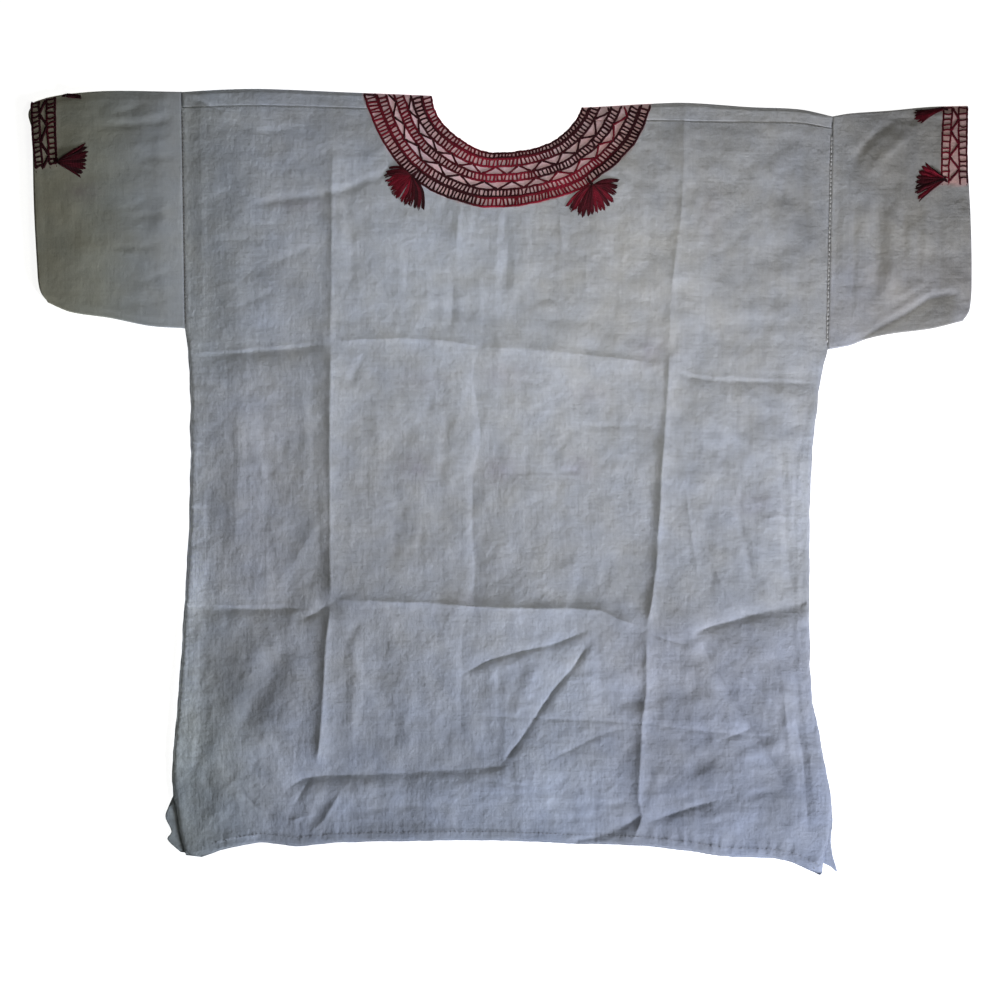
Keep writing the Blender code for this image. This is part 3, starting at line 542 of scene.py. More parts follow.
# ------------------------------------------------------------------ front
ALLOWANCE_LEFT_PX = ((213, 362), (213, 450), (208, 500), (207, 560), (202, 602), (203, 630), (198, 660),
                     (197, 740), (196, 766))
ALLOWANCE_RIGHT_PX = ((812, 400), (797, 470), (796, 560), (795, 640), (800, 700), (808, 760), (815, 820))
ARM_BAND_LEFT_PX = ((204, 100), (204, 160), (205, 220), (206, 326))
HEM_LIP_PX = ((199, 851), (206, 845.5), (218, 841.5), (231, 838), (246, 836.5), (262, 836.5))
TAIL_LIP_PX = ((826.5, 836), (825.5, 843), (822, 853), (816, 865), (812, 871))
RIPPLES = (
    # crease-like puckers hanging from the neck band: angle, length px, height
    (150, 46, 0.5), (141, 60, -0.5), (127, 34, 0.4), (117, 60, -0.5), (110, 85, 0.5), (104, 70, -0.6),
    (98, 46, 0.5), (92, 90, -0.6), (86, 52, 0.4), (80, 80, -0.5), (73, 60, 0.5), (66, 44, -0.4),
    (41, 50, -0.5), (33, 40, 0.4), (25, 60, -0.5),
)
# groups of crinkles: centre and reach in px, how many, and their lean in degrees
CRINKLES_PX = (
    (560, 440, 80, 70, 20, -40), (520, 560, 60, 40, 9, -60), (590, 560, 60, 50, 10, 80), (420, 430, 50, 70, 10, 85),
    (400, 550, 60, 45, 9, 70), (600, 300, 60, 40, 8, 20), (440, 290, 60, 45, 8, 80), (350, 250, 40, 90, 7, 75),
    (740, 250, 50, 90, 12, 80), (720, 430, 50, 50, 10, 50), (740, 550, 60, 50, 12, 70), (250, 250, 50, 80, 8, -15),
    (250, 420, 50, 60, 10, 85), (240, 540, 40, 50, 12, 100), (200, 450, 10, 80, 12, 10), (250, 690, 50, 60, 9, 110),
    (400, 690, 60, 60, 8, 70), (560, 700, 80, 50, 11, -25), (420, 800, 90, 24, 12, -8), (560, 800, 70, 26, 9, 5),
    (730, 700, 60, 70, 12, -20), (720, 800, 70, 22, 11, -10), (800, 640, 14, 90, 10, 80), (230, 800, 36, 26, 8, 30),
    (800, 450, 14, 80, 8, 85),
)
SLEEVE_CRINKLES_PX = (
    (150, 180, 30, 60, 9, 3), (150, 280, 26, 34, 5, 8), (130, 118, 36, 10, 7, -6),
    (850, 250, 16, 70, 7, 88), (905, 250, 40, 50, 10, 84), (900, 140, 30, 20, 5, -45), (940, 280, 22, 30, 5, 40),
)
CORNERS_PX = ((186, 836, 34, 40), (826, 850, 22, 30))      # the vents' corners lie low
# short folds that the hem's stitches draw up: px from, px to, how many, height
HEM_PUCKERS = ((196, 300, 10, 0.5), (300, 440, 15, 0.45), (440, 560, 12, 0.35), (560, 650, 10, 0.4),
               (652, 726, 17, 0.95), (726, 822, 15, 0.6))


def undulation(points, strength=1.0):
    """The gentle unevenness of washed and pressed cotton."""
    h = 1.2 * perlin(points, 118.0, 3) + 1.25 * perlin(points, 61.0, 4)
    h += 0.78 * perlin(points, 31.0, 5) + 0.34 * perlin(points, 16.0, 6) + 0.12 * perlin(points, 9.0, 7)
    wide = np.stack([points[:, 0] * 0.30 + points[:, 1] * 0.1, points[:, 1]], axis=1)
    h += 0.30 * (0.55 - np.abs(perlin(wide, 27.0, 8)) * 2.0) + 0.22 * perlin(wide, 15.0, 12)
    tall = np.stack([points[:, 0] + points[:, 1] * 0.05, points[:, 1] * 0.25], axis=1)
    h += 0.26 * (0.55 - np.abs(perlin(tall, 16.0, 9)) * 2.0) + 0.30 * perlin(tall, 23.0, 13) + 0.06 * perlin(tall, 6.0, 10)
    cross = np.stack([points[:, 0] + points[:, 1], (points[:, 1] - points[:, 0]) * 0.3], axis=1) * 0.707
    h += 0.20 * (0.55 - np.abs(perlin(cross, 25.0, 14)) * 2.0)
    return h * strength


def crinkles(table, seed):
    """Short, low, sharp creases of pressed cotton, in loose groups."""
    rng = np.random.default_rng(seed)
    rows = []
    for cx, cy, w, h, count, lean in table:
        for _ in range(count):
            x, y = cx + w * rng.uniform(-1.0, 1.0), cy + h * rng.uniform(-1.0, 1.0)
            turn = math.radians(lean + rng.normal(0.0, 24.0))
            half = rng.uniform(7.0, 22.0)
            dx, dy = half * math.cos(turn), half * math.sin(turn)
            bow = rng.normal(0.0, 2.2)
            rise = rng.choice([-1.0, 1.0]) * rng.uniform(0.16, 0.42)
            rows.append((rise, rng.uniform(1.5, 2.6), "sharp", (x - dx, y - dy), (x - bow * dy / half, y + bow * dx / half),
                         (x + dx, y + dy)))
    return tuple(rows)


def front_relief(points):
    """How far the upper layer rises over its lying level."""
    points = np.asarray(points, float)
    edge = np.full(len(points), EDGE_EASE)
    ring = even(np.r_[UPPER_LOOP, UPPER_LOOP[:1]], 14.0)
    index, off, _, _ = near(points, ring, EDGE_EASE)
    edge[index] = np.abs(off)
    h = PUFF * (0.36 * smooth(edge / 2.4) + 0.64 * smooth(edge / EDGE_EASE))
    px, py = points[:, 0] / PIXEL + MID_PX[0], MID_PX[1] - points[:, 1] / PIXEL
    much = 0.72 + 0.28 * smooth((px - 330.0) / 120.0) + 0.4 * smooth((px - 560.0) / 120.0) * smooth((610.0 - py) / 90.0)
    h += undulation(points) * (0.35 + 0.65 * smooth(edge / 30.0)) * much
    add_folds(h, points, FRONT_FOLDS, 100)
    add_folds(h, points, CRINKLES, 2000)

    # seam allowances under the side seams and the left armhole
    allowance(h, points, even([at(*p) for p in ALLOWANCE_LEFT_PX][::-1], 6.0), 0.7, 26.0, 21, 0.34)
    allowance(h, points, even([at(*p) for p in ALLOWANCE_RIGHT_PX], 6.0), 0.6, 22.0, 22, 0.18)
    allowance(h, points, even([at(*p) for p in ARM_BAND_LEFT_PX][::-1], 6.0), 0.6, 24.0, 23, 0.24)

    # puckers along the side seams
    for path, seed in ((EDGE_L, 31), (EDGE_R, 32)):
        index, off, along, _ = near(points, path, 30.0)
        gap = np.abs(off)
        h[index] += (0.28 * wave(along, 10.0, seed) + 0.14 * wave(along, 5.0, seed + 1)) * np.exp(-gap / 11.0)
    for path, seed in ((ARM_L, 33), (ARM_R, 34)):
        index, off, along, _ = near(points, path, 22.0)
        gap = np.abs(off)
        h[index] += 0.22 * wave(along, 9.0, seed) * np.exp(-gap / 8.0) - 0.22 * np.exp(-(gap / 1.6) ** 2)

    # the turned hem with its stitched line, pulled into small puckers
    index, off, along, _ = near(points, HEM_F, 36.0)
    gap = np.abs(off)
    band = 1.0 - smooth((gap - 10.2) / 1.6)
    h[index] += 0.6 * band - 0.26 * np.exp(-((gap - 10.6) / 1.5) ** 2)
    rng = np.random.default_rng(77)
    x = points[index, 0]
    for start, stop, count, rise in HEM_PUCKERS:
        for n in range(count):
            where = (start + (stop - start) * (n + rng.uniform(0.1, 0.9)) / count - MID_PX[0]) * PIXEL
            lean, width, reach = rng.normal(0.0, 0.16), rng.uniform(1.3, 2.9), rng.uniform(8.0, 24.0)
            line = np.exp(-((x - where - lean * (gap - 8.0)) / width) ** 2)
            fade = (0.25 + 0.75 * smooth((gap - 6.0) / 5.0)) * (1.0 - smooth((gap - 10.0) / reach))
            h[index] += rise * rng.uniform(0.5, 1.2) * rng.choice([-1.0, 1.0]) * line * fade
    lip(h, points, even([at(*p) for p in HEM_LIP_PX], 4.0), 0.9, 12.0, 43)
    lip(h, points, even([at(*p) for p in TAIL_LIP_PX][::-1], 4.0), 0.9, 11.0, 44)
    index, off, along, _ = near(points, even([at(182, 800), at(184, 815), at(187, 830)], 4.0), 16.0)
    h[index] += 0.6 * np.exp(-(off / 3.0) ** 2)

    # the shoulder seam
    for path in (SEAM_L, SEAM_R):
        index, off, along, _ = near(points, path, 16.0)
        h[index] += 0.16 * wave(along, 9.0, 45) * np.exp(-np.abs(off) / 5.0)
        h[index] += 0.10 * (1.0 - smooth(np.abs(off - 6.0) / 6.0)) - 0.10 * np.exp(-(off / 1.2) ** 2)

    # the neck's edge is turned in, and the thread work draws the cloth up
    mid = np.array(at(*NECK_MID_PX))
    rel = points - mid
    angle = np.degrees(np.arctan2(-rel[:, 1], rel[:, 0]))
    reach = np.hypot(rel[:, 0], rel[:, 1]) / PIXEL
    outer = band_radius(np.clip(angle, 14.0, 171.0))
    ring_side = (angle > 0) & (angle < 180)
    beyond = np.where(ring_side, reach - outer, 99.0)
    inner = smooth(-beyond / 3.0)
    h = h * (1.0 - 0.55 * inner)
    h += 0.22 * inner * wave(angle * 1.8, 7.0, 46) * np.exp(-np.abs(beyond + 30.0) / 60.0)
    for a, length, rise in RIPPLES:
        start = polar(a, band_radius(a) - 3.0)
        tip = polar(a + 3.0 * math.sin(a), band_radius(a) + length)
        down = np.array([start[0] * 0.25 + tip[0] * 0.75, tip[1]])
        path = curve([start, (start + down) / 2.0, down], 8.0)
        index, off, along, total = near(points, path, 9.0)
        h[index] += rise * np.exp(-(off / 3.2) ** 2) * smooth(along / 8.0 + 0.4) * smooth((total - along) / (0.7 * total))
    near_band = (beyond > -2.0) & (beyond < 30.0)
    h[near_band] += (0.26 * wave(angle[near_band] * 2.2, 6.0, 47) * np.exp(-np.maximum(beyond[near_band], 0.0) / 12.0))

    h = np.minimum(0.5 * (h + np.sqrt(h * h + 0.5)), MAX_RELIEF)
    for arm in (ARM_L, ARM_R):
        index, off, _, _ = near(points, arm, 24.0)
        h[index] *= 0.22 + 0.78 * smooth(np.abs(off) / 24.0)
    for cx, cy, w, d in CORNERS_PX:
        h *= 1.0 - 0.5 * np.exp(-((px - cx) / w) ** 2 - ((py - cy) / d) ** 2)
    return h * (0.15 + 0.85 * smooth(edge / 2.4)) - 0.25 * (1.0 - smooth(edge / 1.8))


CRINKLES = crinkles(CRINKLES_PX, 4051)
SLEEVE_CRINKLES = crinkles(SLEEVE_CRINKLES_PX, 4052)


def front_top(points):
    return FRONT_TOP + front_relief(points)


# ------------------------------------------------------------------ meshes
def new_mesh(name, verts, faces, colours=None, twist=None, sharp=()):
    """verts are in millimetres; faces is a list of index arrays with 3 or 4 columns."""
    mesh = bpy.data.meshes.new(name)
    verts = np.asarray(verts, np.float32) * MM
    loops = np.concatenate([np.asarray(f, np.int32).ravel() for f in faces if len(f)])
    sizes = np.concatenate([np.full(len(f), np.asarray(f).shape[1], np.int32) for f in faces if len(f)])
    starts = np.r_[0, np.cumsum(sizes)[:-1]].astype(np.int32)
    mesh.vertices.add(len(verts))
    mesh.vertices.foreach_set("co", verts.ravel())
    mesh.loops.add(len(loops))
    mesh.loops.foreach_set("vertex_index", loops)
    mesh.polygons.add(len(sizes))
    mesh.polygons.foreach_set("loop_start", starts)
    mesh.polygons.foreach_set("use_smooth", np.ones(len(sizes), bool))
    mesh.update(calc_edges=True)
    mesh.validate(verbose=False)
    if colours is not None:
        data = mesh.attributes.new("shade", "FLOAT_COLOR", "POINT")
        rgba = np.ones((len(verts), 4), np.float32)
        rgba[:, :colours.shape[1]] = colours
        data.data.foreach_set("color", rgba.ravel())
    if twist is not None:
        data = mesh.attributes.new("twist", "FLOAT", "POINT")
        data.data.foreach_set("value", np.asarray(twist, np.float32))
    obj = bpy.data.objects.new(name, mesh)
    bpy.context.scene.collection.objects.link(obj)
    return obj


def offset_loop(loop, inward):
    """A closed loop moved towards its inside."""
    before, after = np.roll(loop, 1, axis=0), np.roll(loop, -1, axis=0)
    d = after - before
    d /= np.maximum(np.linalg.norm(d, axis=1), 1e-9)[:, None]
    area = np.sum(loop[:, 0] * after[:, 1] - after[:, 0] * loop[:, 1])
    n = np.stack([-d[:, 1], d[:, 0]], axis=1) * (1.0 if area > 0 else -1.0)
    return loop + n * inward


def plan(loop, lines, grid, clear, rims=(0.9,)):
    """Triangles over a flat outline: (points, triangles, boundary edges)."""
    coords = [Vector(p) for p in loop]
    edges = [(i, (i + 1) % len(loop)) for i in range(len(loop))]
    fixed = [loop]
    for line in lines:
        first = len(coords)
        coords += [Vector(p) for p in line]
        edges += [(first + i, first + i + 1) for i in range(len(line) - 1)]
        fixed.append(np.asarray(line))
    for rim in rims:
        ring = offset_loop(loop, rim)
        ring = ring[inside(ring, loop)]
        coords += [Vector(p) for p in ring]
        fixed.append(ring)
    fixed = np.concatenate(fixed)
    tree = KDTree(len(fixed))
    for i, p in enumerate(fixed):
        tree.insert((p[0], p[1], 0.0), i)
    tree.balance()
    lo, hi = loop.min(0), loop.max(0)
    rows = np.arange(lo[1] + grid * 0.4, hi[1], grid * 0.866)
    free = []
    for n, y in enumerate(rows):
        x = np.arange(lo[0] + grid * (0.25 + 0.5 * (n % 2)), hi[0], grid)
        free.append(np.stack([x, np.full(len(x), y)], axis=1))
    free = np.concatenate(free)
    free += np.stack([perlin(free, grid * 1.7, 71), perlin(free, grid * 1.7, 72)], axis=1) * grid * 0.09
    free = free[inside(free, loop)]
    free = np.array([p for p in free if tree.find((p[0], p[1], 0.0))[2] > clear])
    coords += [Vector(p) for p in free]
    flat, _, faces, _, _, _ = delaunay_2d_cdt(coords, edges, [], 1, 1e-4)
    flat = np.array([(p.x, p.y) for p in flat])
    faces = np.array([f for f in faces if len(f) == 3], np.int64)
    a, b, c = (flat[faces[:, k]] for k in range(3))
    area = (b[:, 0] - a[:, 0]) * (c[:, 1] - a[:, 1]) - (b[:, 1] - a[:, 1]) * (c[:, 0] - a[:, 0])
    faces = faces[np.abs(area) > 1e-7]
    area = area[np.abs(area) > 1e-7]
    faces[area < 0] = faces[area < 0][:, ::-1]
    half = np.concatenate([faces[:, [0, 1]], faces[:, [1, 2]], faces[:, [2, 0]]])
    key = half[:, 0] * len(flat) + half[:, 1]
    back = half[:, 1] * len(flat) + half[:, 0]
    rim = half[~np.isin(key, back)]
    used = np.unique(faces)
    renumber = np.full(len(flat), -1, np.int64)
    renumber[used] = np.arange(len(used))
    return flat[used], renumber[faces], renumber[rim]


def shell(name, upper, top_z, lower, low_z, shade_top, shade_low, bulge=0.18):
    """A closed thin wall. upper and lower are plans with the same outline."""
    up, up_faces, rim = upper
    low, low_faces, low_rim = lower
    tree = KDTree(len(low_rim))
    for i, e in enumerate(low_rim[:, 0]):
        tree.insert((low[e][0], low[e][1], 0.0), int(e))
    tree.balance()
    low_at = {}
    for a in np.unique(rim):
        low_at[int(a)] = tree.find((up[a][0], up[a][1], 0.0))[1] + len(up)
    ring = np.unique(rim)
    following = {int(a): int(b) for a, b in rim}
    before = {int(b): int(a) for a, b in rim}
    mid, mid_at = [], {}
    for n, a in enumerate(ring):
        a = int(a)
        d = up[following.get(a, a)] - up[before.get(a, a)]
        size = np.hypot(*d)
        out = np.array([d[1], -d[0]]) / size if size > 1e-9 else np.zeros(2)
        z = (top_z[a] + low_z[low_at[a] - len(up)]) / 2.0
        mid.append((*(up[a] + out * bulge), z))
        mid_at[a] = len(up) + len(low) + n
    verts = np.concatenate([
        np.c_[up, top_z], np.c_[low, low_z], np.array(mid),
    ])
    quads = []
    for a, b in rim:
        a, b = int(a), int(b)
        quads.append((b, a, mid_at[a], mid_at[b]))
        quads.append((mid_at[b], mid_at[a], low_at[a], low_at[b]))
    colours = np.concatenate([shade_top, shade_low, shade_top[ring]])
    return new_mesh(name, verts, [up_faces, low_faces[:, ::-1] + len(up), np.array(quads)], colours)


# ------------------------------------------------------------------ colour
# the cotton's grey, darker than the real off-white cloth: painted shade over the whole cloth
BASE = np.array([0.520, 0.520, 0.520])
SHADOWS_PX = (
    # faint mauve marks on the front: px, py, half width, half height, strength
    (415, 467, 16, 12, 0.10), (500, 470, 17, 12, 0.11), (580, 468, 16, 11, 0.10), (505, 375, 24, 12, 0.07),
    (650, 352, 16, 14, 0.09), (755, 505, 20, 12, 0.07), (590, 395, 22, 10, 0.05), (420, 380, 24, 10, 0.05),
    (84, 192, 16, 10, 0.16), (470, 600, 26, 8, 0.04), (712, 212, 12, 26, 0.05), (300, 205, 26, 7, 0.08),
)
SPECKS_PX = ((284, 237), (188, 236), (150, 262), (642, 742), (402, 524), (566, 300), (742, 160), (250, 670))


# gains fitted to bring the brightness of the cloth by place to the photo's, so part
# of its uneven light is in them; not seen wear: centre, reach in px, and how much
FITTED_GAINS_PX = (
    (255, 760, 62, 44, 0.46), (190, 640, 24, 90, 0.34), (184, 740, 20, 70, 0.36), (216, 828, 60, 30, 0.24),
    (380, 802, 90, 24, 0.26), (560, 788, 80, 28, 0.28), (600, 680, 60, 40, 0.16), (430, 660, 90, 50, 0.10),
    (560, 420, 70, 60, 0.12), (640, 260, 60, 45, 0.16), (245, 116, 50, 16, 0.28), (790, 122, 50, 14, 0.20),
    (792, 510, 22, 90, 0.20), (196, 510, 16, 90, 0.16), (240, 600, 34, 30, 0.12), (184, 200, 5, 90, 0.30), (300, 400, 50, 60, 0.08), (350, 700, 30, 40, 0.12),
    (400, 818, 50, 16, -0.16), (580, 250, 40, 40, -0.09), (250, 790, 70, 30, -0.06), (833, 230, 4, 90, 0.2),
    (782, 808, 26, 30, -0.24), (684, 782, 32, 26, -0.18), (804, 205, 26, 80, -0.17), (248, 700, 32, 30, -0.24), (900, 196, 34, 40, -0.10),
    (80, 192, 13, 12, -0.16), (76, 106, 18, 10, -0.12), (150, 150, 30, 40, -0.06), (246, 216, 40, 50, 0.06),
)


def tint(points):
    """Colour of the cotton by place, fitted to the photo: its uneven light and faint stains."""
    px = points[:, 0] / PIXEL + MID_PX[0]
    py = MID_PX[1] - points[:, 1] / PIXEL
    high = smooth((480.0 - py) / 200.0)
    blue = 1.17 + 0.00075 * np.maximum(py - 560.0, 0.0) + 0.00022 * (px - 500.0) * smooth((py - 560.0) / 100.0)
    blue += high * (0.075 - 0.16 * smooth((px - 440.0) / 200.0) - 0.13 * smooth((px - 820.0) / 80.0))
    blue -= 0.13 * high * smooth((228.0 - px) / 60.0) + 0.27 * smooth((150.0 - px) / 110.0)
    green = 1.0 + 0.33 * (blue - 1.0) + 0.045 * smooth((300.0 - px) / 200.0)
    green -= 0.035 * smooth((px - 540.0) / 120.0) * smooth((py - 540.0) / 120.0)
    value = 1.0 + 0.035 * perlin(points, 140.0, 61) + 0.025 * perlin(points, 55.0, 62) + 0.02 * perlin(points, 18.0, 63)
    value *= 1.05 - 0.22 * smooth((py - 640.0) / 230.0)
    value *= 1.0 + 0.15 * smooth((320.0 - px) / 80.0) * smooth((py - 330.0) / 80.0) * smooth((640.0 - py) / 80.0)
    for cx, cy, w, d, gain in FITTED_GAINS_PX:
        value *= 1.0 + gain * np.exp(-((px - cx) / w) ** 2 - ((py - cy) / d) ** 2)
    value *= 1.0 - 0.12 * smooth((px - 530.0) / 120.0) * smooth((py - 530.0) / 90.0)
    value *= 1.0 + 0.05 * np.exp(-((px - 400.0) / 110.0) ** 2 - ((py - 300.0) / 70.0) ** 2)
    blue -= 0.06 * smooth((px - 530.0) / 120.0) * smooth((py - 530.0) / 90.0)
    blue += 0.05 * smooth((320.0 - px) / 80.0) * smooth((py - 330.0) / 80.0) * smooth((640.0 - py) / 80.0)
    blue -= 0.10 * smooth((300.0 - px) / 110.0) * smooth((py - 640.0) / 120.0)
    colour = BASE * value[:, None]
    cast = 0.022 * perlin(points, 42.0, 68) + 0.015 * perlin(points, 17.0, 69)
    colour = colour * (1.0 + cast[:, None] * np.array([1.0, 0.3, -1.2]))
    colour[:, 1] *= green
    colour[:, 2] *= blue
    for cx, cy, w, h, strength in SHADOWS_PX:
        amount = strength * np.exp(-((px - cx) / w) ** 2 - ((py - cy) / h) ** 2)
        amount *= 1.0 + 0.6 * perlin(points, 9.0, 64)
        colour *= 1.0 - amount[:, None] * np.array([0.75, 1.0, 0.7])
    for cx, cy in SPECKS_PX:
        gap = np.hypot(px - cx, py - cy)
        colour *= 1.0 - 0.30 * np.exp(-(gap / 1.6) ** 2)[:, None]
    # dye that has bled into the cloth under the neck band, with a painted reflection of the red threads; over the
    # band's right half the cloth is also made darker
    rel = points - np.array(at(*NECK_MID_PX))
    angle = np.degrees(np.arctan2(-rel[:, 1], rel[:, 0]))
    reach = np.hypot(rel[:, 0], rel[:, 1]) / PIXEL
    outer = band_radius(np.clip(angle, 14.0, 171.0))
    pink = smooth((outer + 2.5 - reach) / 4.0) * ((angle > 0) & (angle < 180))
    pink = pink * (0.8 + 0.3 * perlin(points, 14.0, 65))
    colour = dye_and_red_reflection(colour, pink)
    deep = pink * smooth((px - 450.0) / 90.0)
    return colour * (1.0 - deep[:, None] * np.array([0.20, 0.21, 0.20]))


# pink from dye bled into the cloth, with a painted reflection of the red threads
def dye_and_red_reflection(colour, amount):
    return colour * (1.0 + amount[:, None] * np.array([1.0, 0.22, 0.19]))


def lighten(colour, points, path, width, amount):
    """Cloth looks lighter where a seam allowance lies beneath it."""
    index, off, _, _ = near(points, path, width + 4.0)
    band = smooth(off / 1.6 + 0.5) * (1.0 - smooth((off - width) / 2.0))
    colour[index] *= (1.0 + amount * band)[:, None]
    line = np.exp(-(off / 0.9) ** 2)
    colour[index] *= (1.0 - 0.16 * line)[:, None]
    return colour


# painted shade in folds, and a painted highlight along a ridge where the amount is negative: amount, half width px, and
# px along the fold
PAINTED_FOLD_SHADING = (
    (0.13, 9.0, (722, 676), (745, 712), (770, 750), (792, 786), (804, 816)),
    (0.12, 7.0, (606, 698), (640, 699), (700, 697)),
    (0.15, 2.2, (700, 642), (712, 664), (730, 694), (752, 728), (772, 762), (786, 790)),
    (-0.07, 2.0, (708, 646), (732, 668), (760, 692), (786, 714)),
    (0.10, 16.0, (690, 735), (700, 755), (704, 780)),
    (0.10, 6.0, (724, 800), (750, 795), (778, 790), (800, 792)),
    (0.12, 4.0, (802, 760), (806, 790), (806, 815)),
    (0.12, 5.0, (650, 826), (668, 817), (690, 809), (712, 802)),
    (0.08, 5.0, (286, 814), (304, 826), (322, 822), (336, 806)),
    (0.10, 9.0, (345, 824), (390, 818), (440, 822)),
    (0.10, 6.0, (300, 614), (318, 622), (324, 640)),
    (0.08, 10.0, (640, 358), (652, 340), (660, 326)),
    (0.10, 8.0, (560, 602), (600, 604), (634, 612)),
    (0.08, 7.0, (706, 240), (716, 262), (724, 290)),
)


def front_tint(points):
    colour = tint(points)
    lighten(colour, points, even([at(*p) for p in ALLOWANCE_LEFT_PX][::-1], 6.0), 26.0, 0.08)
    lighten(colour, points, even([at(*p) for p in ALLOWANCE_RIGHT_PX], 6.0), 22.0, 0.03)
    lighten(colour, points, even([at(*p) for p in ARM_BAND_LEFT_PX][::-1], 6.0), 24.0, 0.07)
    index, off, along, _ = near(points, HEM_F, 14.0)
    gap = np.abs(off)
    colour[index] *= (1.0 + 0.03 * (1.0 - smooth((gap - 10.0) / 1.5)) - 0.12 * np.exp(-((gap - 10.6) / 0.9) ** 2)
                      * (0.7 + 0.5 * wave(along, 7.0, 66)))[:, None]
    # painted shade in the folds, and one painted highlight along a ridge
    for amount, width, *knots in PAINTED_FOLD_SHADING:
        index, off, along, total = near(points, curve([at(*k) for k in knots], 9.0), width * 2.4 * PIXEL)
        ends = smooth(along / (0.3 * total)) * smooth((total - along) / (0.3 * total))
        colour[index] *= (1.0 - amount * ends * np.exp(-(off / PIXEL / width) ** 2))[:, None]
    # painted shade along the right side's edge, the right vent's edge and the hem's edge
    for path, amount in ((EDGE_R, 0.22), (TAIL_FR, 0.25), (HEM_F, 0.30)):
        index, off, _, _ = near(points, path, 9.0)
        colour[index] *= (1.0 - amount * np.exp(-(off / 2.6) ** 2))[:, None]
    return colour


# ------------------------------------------------------------------ materials
class Nodes:
    def __init__(self, name):
        self.material = bpy.data.materials.new(name)
        self.material.use_nodes = True
        self.tree = self.material.node_tree
        self.shader = self.tree.nodes["Principled BSDF"]

    def add(self, kind, values=None, **settings):
        node = self.tree.nodes.new(kind)
        for key, value in settings.items():
            setattr(node, key, value)
        for key, value in (values or {}).items():
            if hasattr(value, "links"):
                self.tree.links.new(value, node.inputs[key])
            else:
                node.inputs[key].default_value = value
        return node

    def math(self, operation, a, b=None, clamp=False):
        values = {0: a} if b is None else {0: a, 1: b}
        return self.add("ShaderNodeMath", values, operation=operation, use_clamp=clamp).outputs[0]

    def link(self, output, key):
        self.tree.links.new(output, self.shader.inputs[key])


def cotton(name, weave=1.0, crumple=1.0, stain=1.0):
    n = Nodes(name)
    place = n.add("ShaderNodeTexCoord").outputs["Object"]
    shade = n.add("ShaderNodeAttribute", attribute_name="shade").outputs["Color"]

    def noise(scale, detail, stretch=(1.0, 1.0, 1.0), rough=0.55):
        mapped = n.add("ShaderNodeMapping", {"Vector": place, "Scale": stretch}).outputs[0]
        return n.add(
            "ShaderNodeTexNoise", {"Vector": mapped, "Scale": scale, "Detail": detail, "Roughness": rough},
        ).outputs[0]

    warp = noise(45.0, 2.0)
    split = n.add("ShaderNodeSeparateXYZ", {"Vector": place})
    pitch = 0.00098
    threads = []
    for axis in ("X", "Y"):
        bent = n.math("MULTIPLY_ADD", warp, 0.0024)
        bent.node.inputs[2].default_value = 0.0
        run = n.math("ADD", split.outputs[axis], bent)
        threads.append(n.math("SINE", n.math("MULTIPLY", run, 2 * math.pi / pitch)))
    cross = n.math("MULTIPLY", threads[0], threads[1])
    slub_x = noise(330.0, 2.0, (0.07, 1.0, 1.0))
    slub_y = noise(330.0, 2.0, (1.0, 0.07, 1.0))
    slub = n.math("ADD", slub_x, slub_y)
    mottle = noise(26.0, 5.0, rough=0.6)
    small = noise(105.0, 3.0, (1.0, 0.8, 1.0), 0.6)
    fine = noise(210.0, 4.0, rough=0.62)

    # colour: slubs, mottling and the gaps of the weave
    amount = n.math("MULTIPLY_ADD", slub, 0.16 * weave)
    amount.node.inputs[2].default_value = 1.0 - 0.16 * weave
    more = n.math("MULTIPLY_ADD", mottle, 0.42 * stain)
    more.node.inputs[2].default_value = 1.0 - 0.21 * stain
    grain = n.math("MULTIPLY_ADD", fine, 0.26 * stain)
    grain.node.inputs[2].default_value = 1.0 - 0.13 * stain
    gaps = n.math("MULTIPLY_ADD", cross, 0.035 * weave)
    gaps.node.inputs[2].default_value = 1.0
    total = n.math("MULTIPLY", n.math("MULTIPLY", amount, more), n.math("MULTIPLY", grain, gaps))
    colour = n.add("ShaderNodeMix", {"Factor": 1.0}, data_type="RGBA", blend_type="MULTIPLY")
    n.tree.links.new(shade, colour.inputs[6])
    n.tree.links.new(n.add("ShaderNodeCombineColor", {0: total, 1: total, 2: total}).outputs[0], colour.inputs[7])
    n.link(colour.outputs[2], "Base Color")

    # relief: crumples, slubs, weave
    crumples = n.add(
        "ShaderNodeTexNoise", {"Vector": place, "Scale": 24.0, "Detail": 4.0, "Roughness": 0.5},
    ).outputs[0]
    ridged = n.math("ABSOLUTE", n.math("SUBTRACT", noise(48.0, 3.0, (0.45, 1.0, 1.0)), 0.5))
    first = n.add("ShaderNodeBump", {"Strength": 1.0, "Distance": 0.0042 * crumple, "Height": crumples})
    first = n.add(
        "ShaderNodeBump", {"Strength": 1.0, "Distance": 0.0010 * crumple, "Height": small, "Normal": first.outputs[0]},
    )
    second = n.add(
        "ShaderNodeBump", {"Strength": 1.0, "Distance": 0.0005 * crumple, "Height": ridged, "Normal": first.outputs[0]},
    )
    third = n.add(
        "ShaderNodeBump", {"Strength": 1.0, "Distance": 0.00028 * crumple, "Height": slub, "Normal": second.outputs[0]},
    )
    third = n.add(
        "ShaderNodeBump", {"Strength": 1.0, "Distance": 0.00040 * crumple, "Height": fine, "Normal": third.outputs[0]},
    )
    fourth = n.add(
        "ShaderNodeBump", {"Strength": 1.0, "Distance": 0.00005 * weave, "Height": cross, "Normal": third.outputs[0]},
    )
    n.link(fourth.outputs[0], "Normal")
    rough = n.math("MULTIPLY_ADD", fine, 0.14)
    rough.node.inputs[2].default_value = 0.80
    n.link(rough, "Roughness")
    n.shader.inputs["Specular IOR Level"].default_value = 0.25
    n.shader.inputs["Sheen Weight"].default_value = 0.12
    n.shader.inputs["Sheen Roughness"].default_value = 0.5
    return n.material


